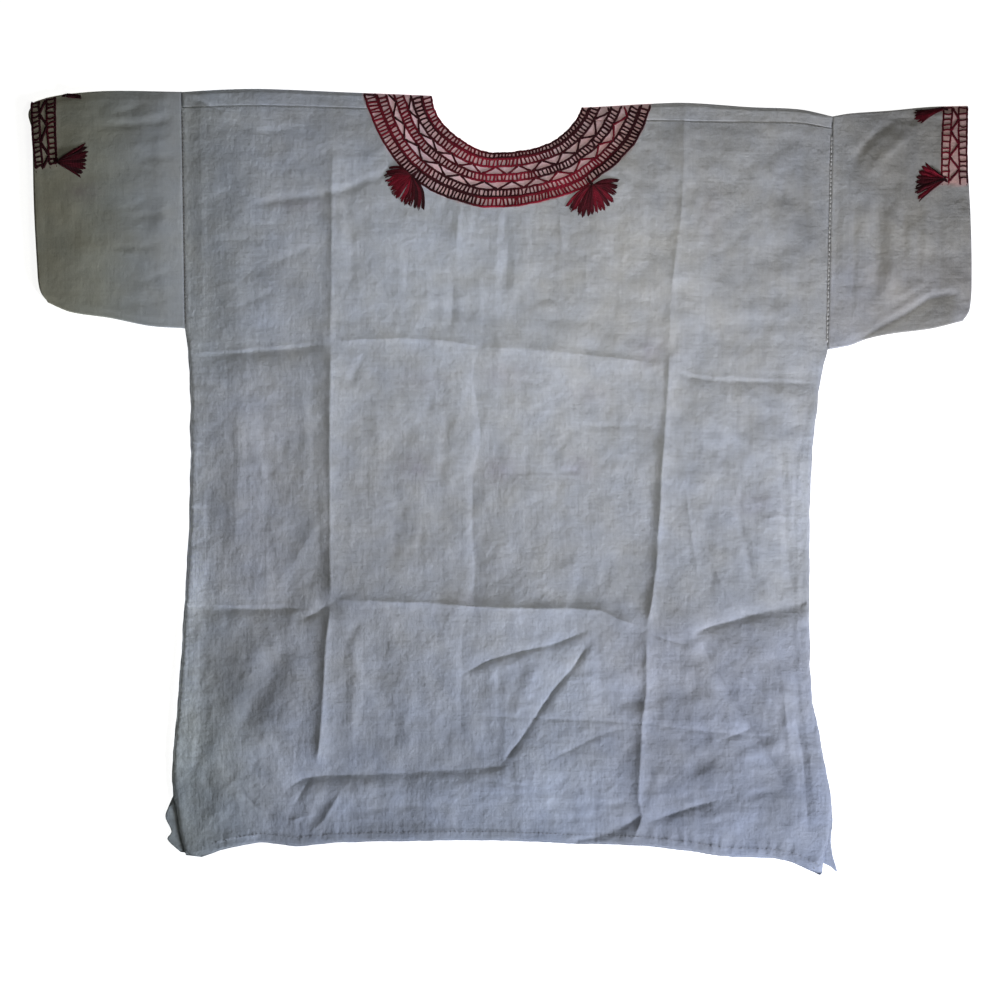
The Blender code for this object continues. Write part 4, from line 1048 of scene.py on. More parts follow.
def thread(name, sheen=0.06, rough=0.72, ply=1.0):
    n = Nodes(name)
    shade = n.add("ShaderNodeAttribute", attribute_name="shade").outputs["Color"]
    twist = n.add("ShaderNodeAttribute", attribute_name="twist").outputs["Fac"]
    place = n.add("ShaderNodeTexCoord").outputs["Object"]
    fibre = n.add("ShaderNodeTexNoise", {"Vector": place, "Scale": 900.0, "Detail": 3.0, "Roughness": 0.6}).outputs[0]
    blotch = n.add("ShaderNodeTexNoise", {"Vector": place, "Scale": 160.0, "Detail": 2.0}).outputs[0]
    wound = n.math("SINE", twist)
    light = n.math("MULTIPLY_ADD", wound, 0.16)
    light.node.inputs[2].default_value = 0.92
    spot = n.math("MULTIPLY_ADD", blotch, 0.7)
    spot.node.inputs[2].default_value = 0.65
    hair = n.math("MULTIPLY_ADD", fibre, 0.5)
    hair.node.inputs[2].default_value = 0.75
    total = n.math("MULTIPLY", n.math("MULTIPLY", light, spot), hair)
    colour = n.add("ShaderNodeMix", {"Factor": 1.0}, data_type="RGBA", blend_type="MULTIPLY")
    n.tree.links.new(shade, colour.inputs[6])
    n.tree.links.new(n.add("ShaderNodeCombineColor", {0: total, 1: total, 2: total}).outputs[0], colour.inputs[7])
    n.link(colour.outputs[2], "Base Color")
    first = n.add("ShaderNodeBump", {"Strength": 0.8, "Distance": 0.00012 * ply, "Height": wound})
    second = n.add(
        "ShaderNodeBump", {"Strength": 0.7, "Distance": 0.00008, "Height": fibre, "Normal": first.outputs[0]},
    )
    n.link(second.outputs[0], "Normal")
    n.shader.inputs["Roughness"].default_value = rough
    n.shader.inputs["Specular IOR Level"].default_value = 0.16
    n.shader.inputs["Sheen Weight"].default_value = sheen
    n.shader.inputs["Sheen Roughness"].default_value = 0.4
    return n.material


# ------------------------------------------------------------------ threads
CRIMSON = np.array([0.210, 0.010, 0.026])
BRIGHT = np.array([0.34, 0.018, 0.044])
MAROON = np.array([0.105, 0.009, 0.018])
BLACK = np.array([0.050, 0.008, 0.013])
DYES = {"R": BRIGHT, "C": CRIMSON, "M": MAROON, "K": BLACK}


class Threads:
    """Collects many threads, each a tube along its path, into one mesh."""

    def __init__(self, sides=6):
        self.sides = sides
        self.verts, self.faces, self.caps, self.colours, self.twists = [], [], [], [], []
        self.count = 0

    def add(self, path, radius, colour, flat=0.72, pitch=2.2, taper=0.35):
        path = np.asarray(path, float)
        n, m = len(path), self.sides
        d = np.gradient(path, axis=0)
        d /= np.maximum(np.linalg.norm(d, axis=1), 1e-9)[:, None]
        up = np.tile([0.0, 0.0, 1.0], (n, 1))
        steep = np.abs(d[:, 2]) > 0.97
        up[steep] = (0.0, 1.0, 0.0)
        side = np.cross(d, up)
        side /= np.maximum(np.linalg.norm(side, axis=1), 1e-9)[:, None]
        up = np.cross(side, d)
        radius = np.broadcast_to(np.asarray(radius, float), (n,)).copy()
        radius[0] *= taper
        radius[-1] *= taper
        phi = np.arange(m) / m * 2 * math.pi
        ring = (
            path[:, None, :]
            + side[:, None, :] * (np.cos(phi)[None, :, None] * radius[:, None, None])
            + up[:, None, :] * (np.sin(phi)[None, :, None] * radius[:, None, None] * flat)
        )
        run = lengths(path)
        self.verts.append(ring.reshape(-1, 3))
        self.twists.append((run[:, None] * (2 * math.pi / pitch) + phi[None, :]).ravel())
        colour = np.broadcast_to(np.asarray(colour, float), (n, 3))
        self.colours.append(np.repeat(colour, m, axis=0))
        i = np.arange(n - 1)[:, None] * m
        j = np.arange(m)[None, :]
        k = (j + 1) % m
        quad = np.stack([i + j, i + k, i + m + k, i + m + j], axis=-1).reshape(-1, 4) + self.count
        self.faces.append(quad)
        start = self.count + np.arange(m)
        end = self.count + (n - 1) * m + np.arange(m)
        self.caps.append(np.stack([np.full(m - 2, start[0]), start[2:], start[1:-1]], axis=1))
        self.caps.append(np.stack([np.full(m - 2, end[0]), end[1:-1], end[2:]], axis=1))
        self.count += n * m

    def make(self, name):
        return new_mesh(
            name, np.concatenate(self.verts), [np.concatenate(self.faces), np.concatenate(self.caps)],
            np.concatenate(self.colours), np.concatenate(self.twists),
        )


def dye_run(stops, where, seed):
    """The colour of a space-dyed thread, from a table of (place, letter)."""
    places = np.array([s[0] for s in stops], float)
    order = np.argsort(places)
    dyes = np.array([DYES[stops[i][1]] for i in order])
    where = np.atleast_1d(np.asarray(where, float))
    where = where + 3.0 * wave(where * 3.0, 13.0, seed)
    colour = np.stack([np.interp(where, places[order], dyes[:, k]) for k in range(3)], axis=1)
    return colour * (1.0 + 0.22 * wave(where * 5.0, 9.0, seed + 1))[:, None]


# The rows of the neck band, from the hole outwards, at three angles.
BAND_ANGLES = (20.0, 97.0, 165.0)
BAND_ROWS = {
    # name: share of the band's width at those angles
    "a0": (0.000, 0.000, 0.000), "a1": (0.103, 0.096, 0.154), "b1": (0.246, 0.250, 0.307),
    "c0": (0.420, 0.404, 0.414), "c1": (0.563, 0.528, 0.553), "d0": (0.706, 0.683, 0.680),
    "d1": (0.857, 0.826, 0.820), "e1": (1.000, 1.000, 1.000),
}
LADDERS = (
    # name, inner row, outer row, stitch pitch in mm, colour stops (angle, dye)
    ("A", "a0", "a1", 4.0, ((14, "K"), (60, "K"), (80, "M"), (100, "K"), (118, "C"), (135, "M"), (150, "C"), (160, "M"), (172, "K"))),
    ("B", "a1", "b1", 4.0, ((14, "K"), (52, "K"), (68, "M"), (84, "C"), (104, "R"), (124, "C"), (134, "M"), (146, "K"), (172, "K"))),
    ("C", "c0", "c1", 4.0, ((14, "K"), (62, "K"), (74, "K"), (86, "R"), (104, "R"), (112, "M"), (126, "M"), (136, "K"), (144, "C"), (156, "C"), (172, "M"))),
    ("D", "d0", "d1", 4.1, ((14, "K"), (34, "K"), (46, "C"), (58, "R"), (68, "R"), (80, "M"), (96, "K"), (122, "K"), (132, "M"), (140, "C"), (152, "C"), (172, "M"))),
    ("E", "d1", "e1", 3.9, ((14, "K"), (50, "K"), (57, "R"), (74, "R"), (90, "C"), (99, "R"), (107, "K"), (136, "K"), (146, "M"), (156, "C"), (166, "C"), (172, "K"))),
)
ZIGZAGS = (
    ("Z1", "b1", "c0", 12.4, ((14, "K"), (66, "K"), (84, "M"), (104, "C"), (116, "M"), (132, "K"), (172, "K"))),
    ("Z2", "c1", "d0", 13.6, ((14, "C"), (30, "C"), (52, "C"), (64, "C"), (78, "M"), (96, "K"), (172, "K"))),
)


def band_point(angle, share):
    inner = neck_radius(angle)
    return polar(angle, inner + (band_radius(angle) - inner) * share)


def row_share(name, angle):
    return np.interp(angle, BAND_ANGLES, BAND_ROWS[name])


def hidden_point(angle, share):
    """A place on the hidden half of the band; its angles count on past the fold."""
    # 171 is the left end of the front's band, and 360 + 14 the right end.
    t = (angle - 171.0) / (374.0 - 171.0)
    left = np.interp(share, (0.0, 1.0), (152.0, 164.0))
    right = np.interp(share, (0.0, 1.0), (378.6, 372.0))
    a = np.radians(left + (right - left) * t)
    r = HIDDEN_RADIUS[0] + (HIDDEN_RADIUS[1] - HIDDEN_RADIUS[0]) * share
    return np.stack([HIDDEN_MID[0] + r * np.cos(a), HIDDEN_MID[1] + r * np.sin(a)], axis=-1)


def fold_y(x):
    """Height in the plan of the top fold at x."""
    left = np.array(TOP_FOLD_LEFT)
    right = np.array(TOP_FOLD_RIGHT)
    xs = np.r_[left[:, 0], right[:, 0]]
    ys = np.r_[left[:, 1], right[:, 1]]
    return np.interp(x, xs, ys)


def on_front(xy, lift):
    xy = np.asarray(xy, float)
    return np.c_[xy, front_top(xy) + lift]


# All heights under the neck band are looked up in one go, from a fine net.
class Net:
    def __init__(self, function, lo, hi, step=0.9):
        self.lo, self.step = np.array(lo, float), step
        self.nx, self.ny = (int((hi[k] - lo[k]) / step) + 2 for k in (0, 1))
        gx, gy = np.meshgrid(self.lo[0] + np.arange(self.nx) * step, self.lo[1] + np.arange(self.ny) * step)
        self.z = function(np.stack([gx.ravel(), gy.ravel()], axis=1)).reshape(self.ny, self.nx)

    def __call__(self, xy):
        q = (np.asarray(xy, float) - self.lo) / self.step
        q[..., 0] = np.clip(q[..., 0], 0, self.nx - 1.001)
        q[..., 1] = np.clip(q[..., 1], 0, self.ny - 1.001)
        i = np.floor(q).astype(int)
        f = q - i
        x, y = i[..., 0], i[..., 1]
        fx, fy = f[..., 0], f[..., 1]
        z = self.z
        return (
            z[y, x] * (1 - fx) * (1 - fy) + z[y, x + 1] * fx * (1 - fy)
            + z[y + 1, x] * (1 - fx) * fy + z[y + 1, x + 1] * fx * fy
        )


def rail_path(name, first, last, step, net, seed, wobble=0.5, shift=0.0, lift=0.35, hidden=False):
    """A thread along one row of the neck band."""
    angle = np.arange(first, last, math.degrees(step / (110.0 * PIXEL)))
    share = row_share(name, angle if not hidden else np.full(len(angle), 165.0))
    point = hidden_point if hidden else band_point
    run = angle * 2.0
    share = share + (wobble * wave(run * 1.3, 11.0, seed) + 0.6 * wobble * wave(run, 4.2, seed + 1) + shift) / 62.0
    if name == "a0":
        share = np.maximum(share, -0.004)
    xy = point(angle, share)
    z = net(xy) + lift if net is not None else np.full(len(xy), lift)
    return angle, np.c_[xy, z]


def neck_band(threads, net):
    """The stitches on the side that shows."""
    first, last = 13.0, 171.5
    pairs = {"a1": 0.62, "d1": 0.66}
    for n, (row, ladders) in enumerate((
        ("a0", "A"), ("a1", "AB"), ("b1", "B"), ("c0", "C"), ("c1", "C"), ("d0", "D"), ("d1", "DE"), ("e1", "E"),
    )):
        for k, ladder in enumerate(ladders):
            stops = next(r[4] for r in LADDERS if r[0] == ladder)
            shift = 0.0 if len(ladders) == 1 else (-1 if k == 0 else 1) * pairs[row]
            angle, path = rail_path(row, first, last, 1.25, net, 300 + 20 * n + k, shift=shift,
                                    lift=0.34 + (0.10 if k else 0.0))
            keep = path[:, 1] < fold_y(path[:, 0]) + 0.2
            bead = 0.88 + 0.16 * np.abs(np.sin(lengths(path) * math.pi / 4.05 + n))
            radius = (1.24 if row not in ("a0", "e1") else 1.28) * bead
            threads.add(path[keep], radius[keep], dye_run(stops, angle, 340 + 3 * n + k)[keep], pitch=2.4)
    for n, (_, inner, outer, pitch, stops) in enumerate(LADDERS):
        mid = 0.5 * (row_share(inner, 97.0) + row_share(outer, 97.0))
        radius = 83.0 + 55.0 * mid
        angle = first
        while angle < last:
            step = pitch * (1.0 + RNG.uniform(-0.16, 0.16)) / (radius * PIXEL)
            angle += math.degrees(step)
            slant = math.degrees((RNG.normal(0.0, 0.5) + 0.5 * math.sin(angle * 0.21 + n)) / (radius * PIXEL))
            t = np.linspace(0.0, 1.0, 6)
            bow = math.degrees(RNG.normal(0.0, 0.25) / (radius * PIXEL)) * np.sin(math.pi * t)
            where = angle + slant * (t - 0.5) * 2.0 + bow
            inner_share = row_share(inner, where) - (0.006 if inner == "a0" else 0.0)
            share = inner_share + (row_share(outer, where) - inner_share) * t
            xy = band_point(where, share)
            if xy[:, 1].max() > fold_y(xy[0, 0]) - 0.3:
                continue
            z = net(xy) + 0.30 + 0.22 * np.sin(math.pi * t) ** 0.7
            colour = dye_run(stops, where, 380 + n) * (1.0 + RNG.normal(0.0, 0.14))
            thick = 1.0 * RNG.uniform(0.80, 1.20) * (1.0 + 0.5 * np.abs(2.0 * t - 1.0) ** 3)
            threads.add(np.c_[xy, z], thick, np.clip(colour, 0.0, 1.0), pitch=1.9, taper=0.8)
    for n, (_, inner, outer, half, stops) in enumerate(ZIGZAGS):
        mid = 0.5 * (row_share(inner, 97.0) + row_share(outer, 97.0))
        radius = 83.0 + 55.0 * mid
        angle, corners = first - 4.0, []
        out = True
        while angle < last + 4.0:
            corners.append((angle, out))
            angle += math.degrees(half * (1.0 + RNG.uniform(-0.13, 0.13)) / (radius * PIXEL))
            out = not out
        for (a0, s0), (a1, s1) in zip(corners, corners[1:]):
            t = np.linspace(0.0, 1.0, 10)
            where = a0 + (a1 - a0) * t
            lean = 0.5 - 0.5 * np.cos(math.pi * (0.12 + 0.76 * t))
            lean = (lean - lean[0]) / (lean[-1] - lean[0])
            share0 = row_share(inner, where) + 0.012
            share1 = row_share(outer, where) - 0.012
            mix = lean if s1 else 1.0 - lean
            share = share0 + (share1 - share0) * mix
            xy = band_point(where, share)
            xy += np.stack([wave(where * 4.0, 7.0, 420 + n), wave(where * 4.0, 7.0, 430 + n)], axis=1) * 0.18
            keep = xy[:, 1] < fold_y(xy[:, 0]) - 0.2
            if keep.sum() < 4 or where.min() < first or where.max() > last:
                continue
            z = net(xy) + 0.42
            threads.add(np.c_[xy, z][keep], 1.26 * (0.9 + 0.1 * np.sin(t * 9.0))[keep],
                        dye_run(stops, where, 440 + n)[keep], pitch=2.6)
            # the small stitch that holds each corner down
            tip = xy[-1] if keep[-1] else None
            if tip is not None:
                toward = band_point(a1, (share1 if s1 else share0)[-1] + (0.03 if s1 else -0.03))
                path = np.linspace(0.0, 1.0, 4)[:, None]
                hold = tip + (toward - tip) * path
                threads.add(np.c_[hold, net(hold) + 0.70], 1.0, dye_run(stops, [a1], 450)[0], pitch=1.8)


def hidden_band(threads, under):
    """The same rows, worked plainly on round the hidden half of the hole."""
    left, right = 171.0, 374.0
    stops = {
        "A": ((171, "K"), (210, "M"), (240, "C"), (280, "K"), (320, "M"), (374, "K")),
        "B": ((171, "K"), (220, "C"), (260, "K"), (300, "C"), (374, "K")),
        "C": ((171, "M"), (200, "C"), (250, "K"), (310, "R"), (374, "K")),
        "D": ((171, "M"), (230, "K"), (270, "C"), (330, "K"), (374, "K")),
        "E": ((171, "C"), (215, "K"), (255, "R"), (300, "K"), (374, "K")),
        "Z": ((171, "K"), (374, "C")),
    }

    def place(angle, share):
        xy = hidden_point(angle, share)
        return np.c_[xy, under(xy)]

    for n, (row, ladders) in enumerate((
        ("a0", "A"), ("a1", "AB"), ("b1", "B"), ("c0", "C"), ("c1", "C"), ("d0", "D"), ("d1", "DE"), ("e1", "E"),
    )):
        for k, ladder in enumerate(ladders):
            share = BAND_ROWS[row][2]
            radius = HIDDEN_RADIUS[0] + (HIDDEN_RADIUS[1] - HIDDEN_RADIUS[0]) * share
            count = int(radius * 3.9 / 1.9)
            angle = np.linspace(left, right, count)
            shift = 0.0 if len(ladders) == 1 else (-0.62 if k == 0 else 0.62)
            wob = (shift + 0.35 * wave(angle * 2.4, 11.0, 500 + n)) / 62.0
            path = place(angle, share + wob)
            keep = path[:, 1] < fold_y(path[:, 0]) - 0.6
            threads.add(path[keep], 0.66, dye_run(stops[ladder], angle, 520 + n)[keep], flat=0.42, pitch=2.4)
    for n, (name, inner, outer, pitch, _) in enumerate(LADDERS):
        s0, s1 = BAND_ROWS[inner][2], BAND_ROWS[outer][2]
        radius = HIDDEN_RADIUS[0] + (HIDDEN_RADIUS[1] - HIDDEN_RADIUS[0]) * (s0 + s1) / 2.0
        angle = left + 0.5
        while angle < right - 0.5:
            angle += math.degrees(pitch * (1.0 + RNG.uniform(-0.15, 0.15)) / radius) * 203.0 / 222.0
            t = np.linspace(0.0, 1.0, 4)
            where = angle + RNG.normal(0.0, 0.18) * (t - 0.5)
            path = place(where, s0 + (s1 - s0) * t)
            if path[:, 1].max() > fold_y(path[0, 0]) - 0.8:
                continue
            threads.add(path, 0.58, dye_run(stops[name], where, 540 + n), flat=0.42, pitch=1.9)
    for n, (_, inner, outer, half, _) in enumerate(ZIGZAGS):
        s0, s1 = BAND_ROWS[inner][2] + 0.012, BAND_ROWS[outer][2] - 0.012
        radius = HIDDEN_RADIUS[0] + (HIDDEN_RADIUS[1] - HIDDEN_RADIUS[0]) * (s0 + s1) / 2.0
        angle, out = left + 1.0, True
        while angle < right - 2.0:
            step = math.degrees(half * (1.0 + RNG.uniform(-0.12, 0.12)) / radius) * 203.0 / 222.0
            t = np.linspace(0.0, 1.0, 7)
            where = angle + step * t
            mix = t if out else 1.0 - t
            path = place(where, s0 + (s1 - s0) * mix)
            if path[:, 1].max() < fold_y(path[0, 0]) - 0.8:
                threads.add(path, 0.68, dye_run(stops["Z"], where, 560 + n), flat=0.42, pitch=2.6)
            angle += step
            out = not out


# ------------------------------------------------------------------ sleeves
UNDERARM_FOLD_PX = ((860, 339), (884, 326), (906, 314.5), (930, 298), (947, 294.5), (962, 296))
ROUND = 1.45           # how far in from a fold the upper layer reaches its level
SLEEVE_SECTIONS = 74


def sleeve_top(points, edges, folds, seed, side):
    points = np.asarray(points, float)
    gap = np.full(len(points), 60.0)
    for name in ("top", "underarm"):
        index, off, _, _ = near(points, curve(edges[name], 6.0), 60.0)
        gap[index] = np.minimum(gap[index], np.abs(off))
    lift = 1.1 * smooth(gap / 9.0) + (3.4 if side > 0 else 2.2) * smooth(gap / 45.0)
    lift += (0.8 if side > 0 else 0.5) * undulation(points) * (0.3 + 0.7 * smooth(gap / 18.0))
    add_folds(lift, points, folds, seed, 1.3 if side > 0 else 1.0)
    add_folds(lift, points, SLEEVE_CRINKLES, seed + 300)
    # puckers by the armhole seam, the underarm and the cuff's turned edge
    arm = ARM_L if side < 0 else ARM_R
    index, off, along, _ = near(points, arm, 26.0)
    lift[index] += 0.24 * wave(along, 9.0, seed + 1) * np.exp(-np.abs(off) / 8.0)
    cuff = curve(edges["cuff"], 6.0)
    index, off, along, _ = near(points, cuff, 20.0)
    inset = np.abs(off)
    lift[index] += 0.30 * (1.0 - smooth((inset - 8.6) / 1.5)) - 0.25 * np.exp(-((inset - 9.0) / 1.2) ** 2)
    lift[index] += 0.20 * wave(along, 8.0, seed + 2) * np.exp(-((inset - 7.0) / 8.0) ** 2)
    index, off, along, _ = near(points, curve(edges["underarm"], 6.0), 22.0)
    lift[index] += 0.26 * wave(along, 9.0, seed + 3) * np.exp(-np.abs(off) / 8.0)
    if side > 0:
        # the sleeve is folded over itself above the underarm
        path = even([at(*p) for p in UNDERARM_FOLD_PX], 5.0)
        lip(lift, points, path, 0.25, 24.0, 210, 2.4)
        band = even([at(*p) for p in ((833, 118), (846, 150), (850, 200), (849, 290), (832, 345))], 6.0)
        lip(lift, points, band, -0.35, 30.0, 211, 1.4)
    index, off, _, _ = near(points, arm, 30.0)
    lift[index] *= 0.12 + 0.88 * smooth(np.abs(off) / 26.0)
    lift = np.minimum(0.5 * (lift + np.sqrt(lift * lift + 0.3)), 7.5)
    middle = FRONT_TOP / 2.0
    rounded = np.sqrt(np.clip(1.0 - (1.0 - np.clip(gap / ROUND, 0.0, 1.0)) ** 2, 0.0, 1.0))
    return middle + (FRONT_TOP - middle + lift * smooth(gap / 8.0)) * rounded, gap, rounded


def sleeve_place(edges, side):
    """A function from (u along the sleeve, v down it) to the plan."""
    shift = side * SEAM_GAP / 2

    def track(rows):
        path = curve(rows, 4.0)
        run = lengths(path)
        return path, run / run[-1]

    top, under, cuff = (track(edges[k]) for k in ("top", "underarm", "cuff"))
    t0 = np.array([edges["top"][0][0] + shift, edges["top"][0][1]])
    b0 = np.array([edges["underarm"][0][0] + shift, edges["underarm"][0][1]])
    t1, b1 = np.array(edges["top"][-1]), np.array(edges["underarm"][-1])

    def read(path, t):
        return np.stack([np.interp(t, path[1], path[0][:, k]) for k in (0, 1)], axis=-1)

    def place(u, v):
        u, v = u[..., None], v[..., None]
        t = read(top, u[..., 0]) + (1 - u) ** 6 * np.array([shift, 0.0])
        b = read(under, u[..., 0]) + (1 - u) ** 6 * np.array([shift, 0.0])
        a = t0 + (b0 - t0) * v
        c = read(cuff, v[..., 0])
        corner = t0 * (1 - u) * (1 - v) + t1 * u * (1 - v) + b0 * (1 - u) * v + b1 * u * v
        return t * (1 - v) + b * v + a * (1 - u) + c * u - corner

    return place


def build_sleeve(name, edges, folds, seed, side):
    place = sleeve_place(edges, side)
    columns = 62
    u = np.linspace(0.0, 1.0, columns + 1)
    span = edges["top"][0][1] - edges["underarm"][0][1]
    first = np.array([0.0, 0.12, 0.35, 0.75, 1.3, 2.4]) / span
    middle = np.linspace(4.6 / span, 1.0 - 4.6 / span, SLEEVE_SECTIONS)
    v = np.r_[first, middle, 1.0 - first[::-1]]
    top_v, low_v = v, v[1:-1][::-1]
    uu, vv = np.meshgrid(u, top_v, indexing="ij")
    top = place(uu, vv).reshape(-1, 2)
    z_top, gap, rounded = sleeve_top(top, edges, folds, seed, side)
    uu, vv = np.meshgrid(u, low_v, indexing="ij")
    low = place(uu, vv).reshape(-1, 2)
    _, low_gap, low_round = sleeve_top(low, edges, folds, seed, side)
    middle_z = FRONT_TOP / 2.0
    under = 0.30 + 0.30 * smooth(low_gap / 20.0) * (0.5 + 0.5 * perlin(low, 40.0, seed + 9))
    band = cuff_zone(low, edges)
    under = under + (0.75 - under) * band
    z_low = middle_z - (middle_z - under) * low_round
    n_top, n_low = len(top_v), len(low_v)
    verts = np.concatenate([
        np.c_[top, z_top].reshape(columns + 1, n_top, 3), np.c_[low, z_low].reshape(columns + 1, n_low, 3),
    ], axis=1)
    ring = n_top + n_low
    i = np.arange(columns)[:, None] * ring
    j = np.arange(ring)[None, :]
    k = (j + 1) % ring
    quads = np.stack([i + j, i + k, i + ring + k, i + ring + j], axis=-1).reshape(-1, 4)
    if side > 0:
        quads = quads[:, ::-1]
    flat = verts.reshape(-1, 3)
    colours = tint(flat[:, :2])
    # dye bled into the cloth from the cuff's threads, with a painted reflection of their red
    pink = 0.75 if side > 0 else 0.1
    colours = dye_and_red_reflection(colours, pink * cuff_zone(flat[:, :2], edges, 0.5) * (1.0 + 0.35 * perlin(flat[:, :2], 12.0, 67)))
    px, py = flat[:, 0] / PIXEL + MID_PX[0], MID_PX[1] - flat[:, 1] / PIXEL
    if side > 0:
        # painted shade and light on the right sleeve: darker above, a little darker below and low by the cuff, and
        # bluer below
        colours *= (1.0 - 0.15 * smooth((235.0 - py) / 60.0) * smooth((px - 840.0) / 30.0) - 0.09 * smooth((py - 235.0) / 40.0)
                    - 0.08 * smooth((px - 915.0) / 20.0) * smooth((py - 190.0) / 20.0))[:, None]
        colours[:, 2] *= 1.0 + 0.04 * smooth((py - 235.0) / 50.0)
    else:
        # painted shade on the left sleeve: darker and duller towards its cuff
        colours *= (0.95 - 0.13 * smooth((105.0 - px) / 50.0))[:, None]
        colours[:, 2] *= 0.92 + 0.14 * smooth((px - 92.0) / 70.0)
        colours[:, :2] *= (1.0 + 0.04 * smooth((px - 110.0) / 50.0))[:, None]
        # painted shade along the left armhole seam
        index, off, _, _ = near(flat[:, :2], ARM_L, 6.0)
        colours[index] *= (1.0 - 0.42 * np.exp(-(off / 1.3) ** 2))[:, None]
    if side > 0:
        # painted shade on the layer beneath the fold over the underarm, and along the fold's falling edge
        path = even([at(*p) for p in UNDERARM_FOLD_PX], 5.0)
        index, off, along, total = near(flat[:, :2], path, 44.0)
        below = (1.0 - smooth(off / 1.6 + 0.5)) * smooth(along / 12.0) * smooth((total - along) / 14.0)
        colours[index] *= 1.0 - (below * (0.6 + 0.4 * np.exp(off / 9.0)))[:, None] * np.array([0.20, 0.22, 0.30])
        ridge = np.exp(-((off + 0.2) / 2.2) ** 2) * smooth(along / 30.0) * smooth((total - along) / 8.0)
        colours[index] *= (1.0 - 0.36 * ridge)[:, None]
        band = even([at(*p) for p in ((833, 118), (846, 150), (850, 200), (849, 290), (832, 345))], 6.0)
        index, off, _, _ = near(flat[:, :2], band, 8.0)
        colours[index] *= (1.0 - 0.10 * np.exp(-(off / 1.3) ** 2))[:, None]
    obj = new_mesh(name, flat, [quads], colours)
    wall = obj.modifiers.new("wall", "SOLIDIFY")
    wall.thickness = 0.5 * MM
    wall.offset = -1.0
    wall.use_even_offset = False
    return obj


# The cuff bands: how far they reach from the top fold, and their rows in px.
CUFF_LEFT = {
    "side": -1, "edges": SLEEVE_LEFT, "y": (97.5, 167.5), "angles": (104.0, 166.0),
    # rows: px x at the top and at the bottom of the band
    "rows": ((31.6, 36.4), (38.9, 43.2), (46.6, 50.2), (55.2, 57.2)),
    "pitch": 5.4, "half": 15.0, "thick": 1.22,
    "stops": (("K", "K", "K"), ("K", "K", "K"), ("K", "M", "K"), ("K", "K", "K")),
}
CUFF_RIGHT = {
    "side": 1, "edges": SLEEVE_RIGHT, "y": (106.5, 184.5),
    "rows": ((967.4, 966.6), (958.8, 959.6), (952.6, 948.0), (943.6, 941.2)),
    "pitch": 6.2, "half": 13.0, "thick": 1.0,
    "stops": (("M", "M", "K"), ("M", "C", "M"), ("M", "C", "C"), ("M", "M", "C")),
}


def cuff_zone(points, edges, grow=0.0):
    """1 where the cuff's thread work lies, 0 elsewhere."""
    row = CUFF_LEFT if edges is SLEEVE_LEFT else CUFF_RIGHT
    px = points[:, 0] / PIXEL + MID_PX[0]
    py = MID_PX[1] - points[:, 1] / PIXEL
    t = np.clip((py - row["y"][0]) / (row["y"][1] - row["y"][0]), 0.0, 1.0)
    outer = row["rows"][0][0] + (row["rows"][0][1] - row["rows"][0][0]) * t
    inner = row["rows"][-1][0] + (row["rows"][-1][1] - row["rows"][-1][0]) * t
    lo, hi = np.minimum(outer, inner) - grow, np.maximum(outer, inner) + grow
    zone = smooth((px - lo + 2.0) / 3.0) * smooth((hi + 2.0 - px) / 3.0)
    return zone * smooth((row["y"][1] + 2.0 + grow - py) / 3.0)


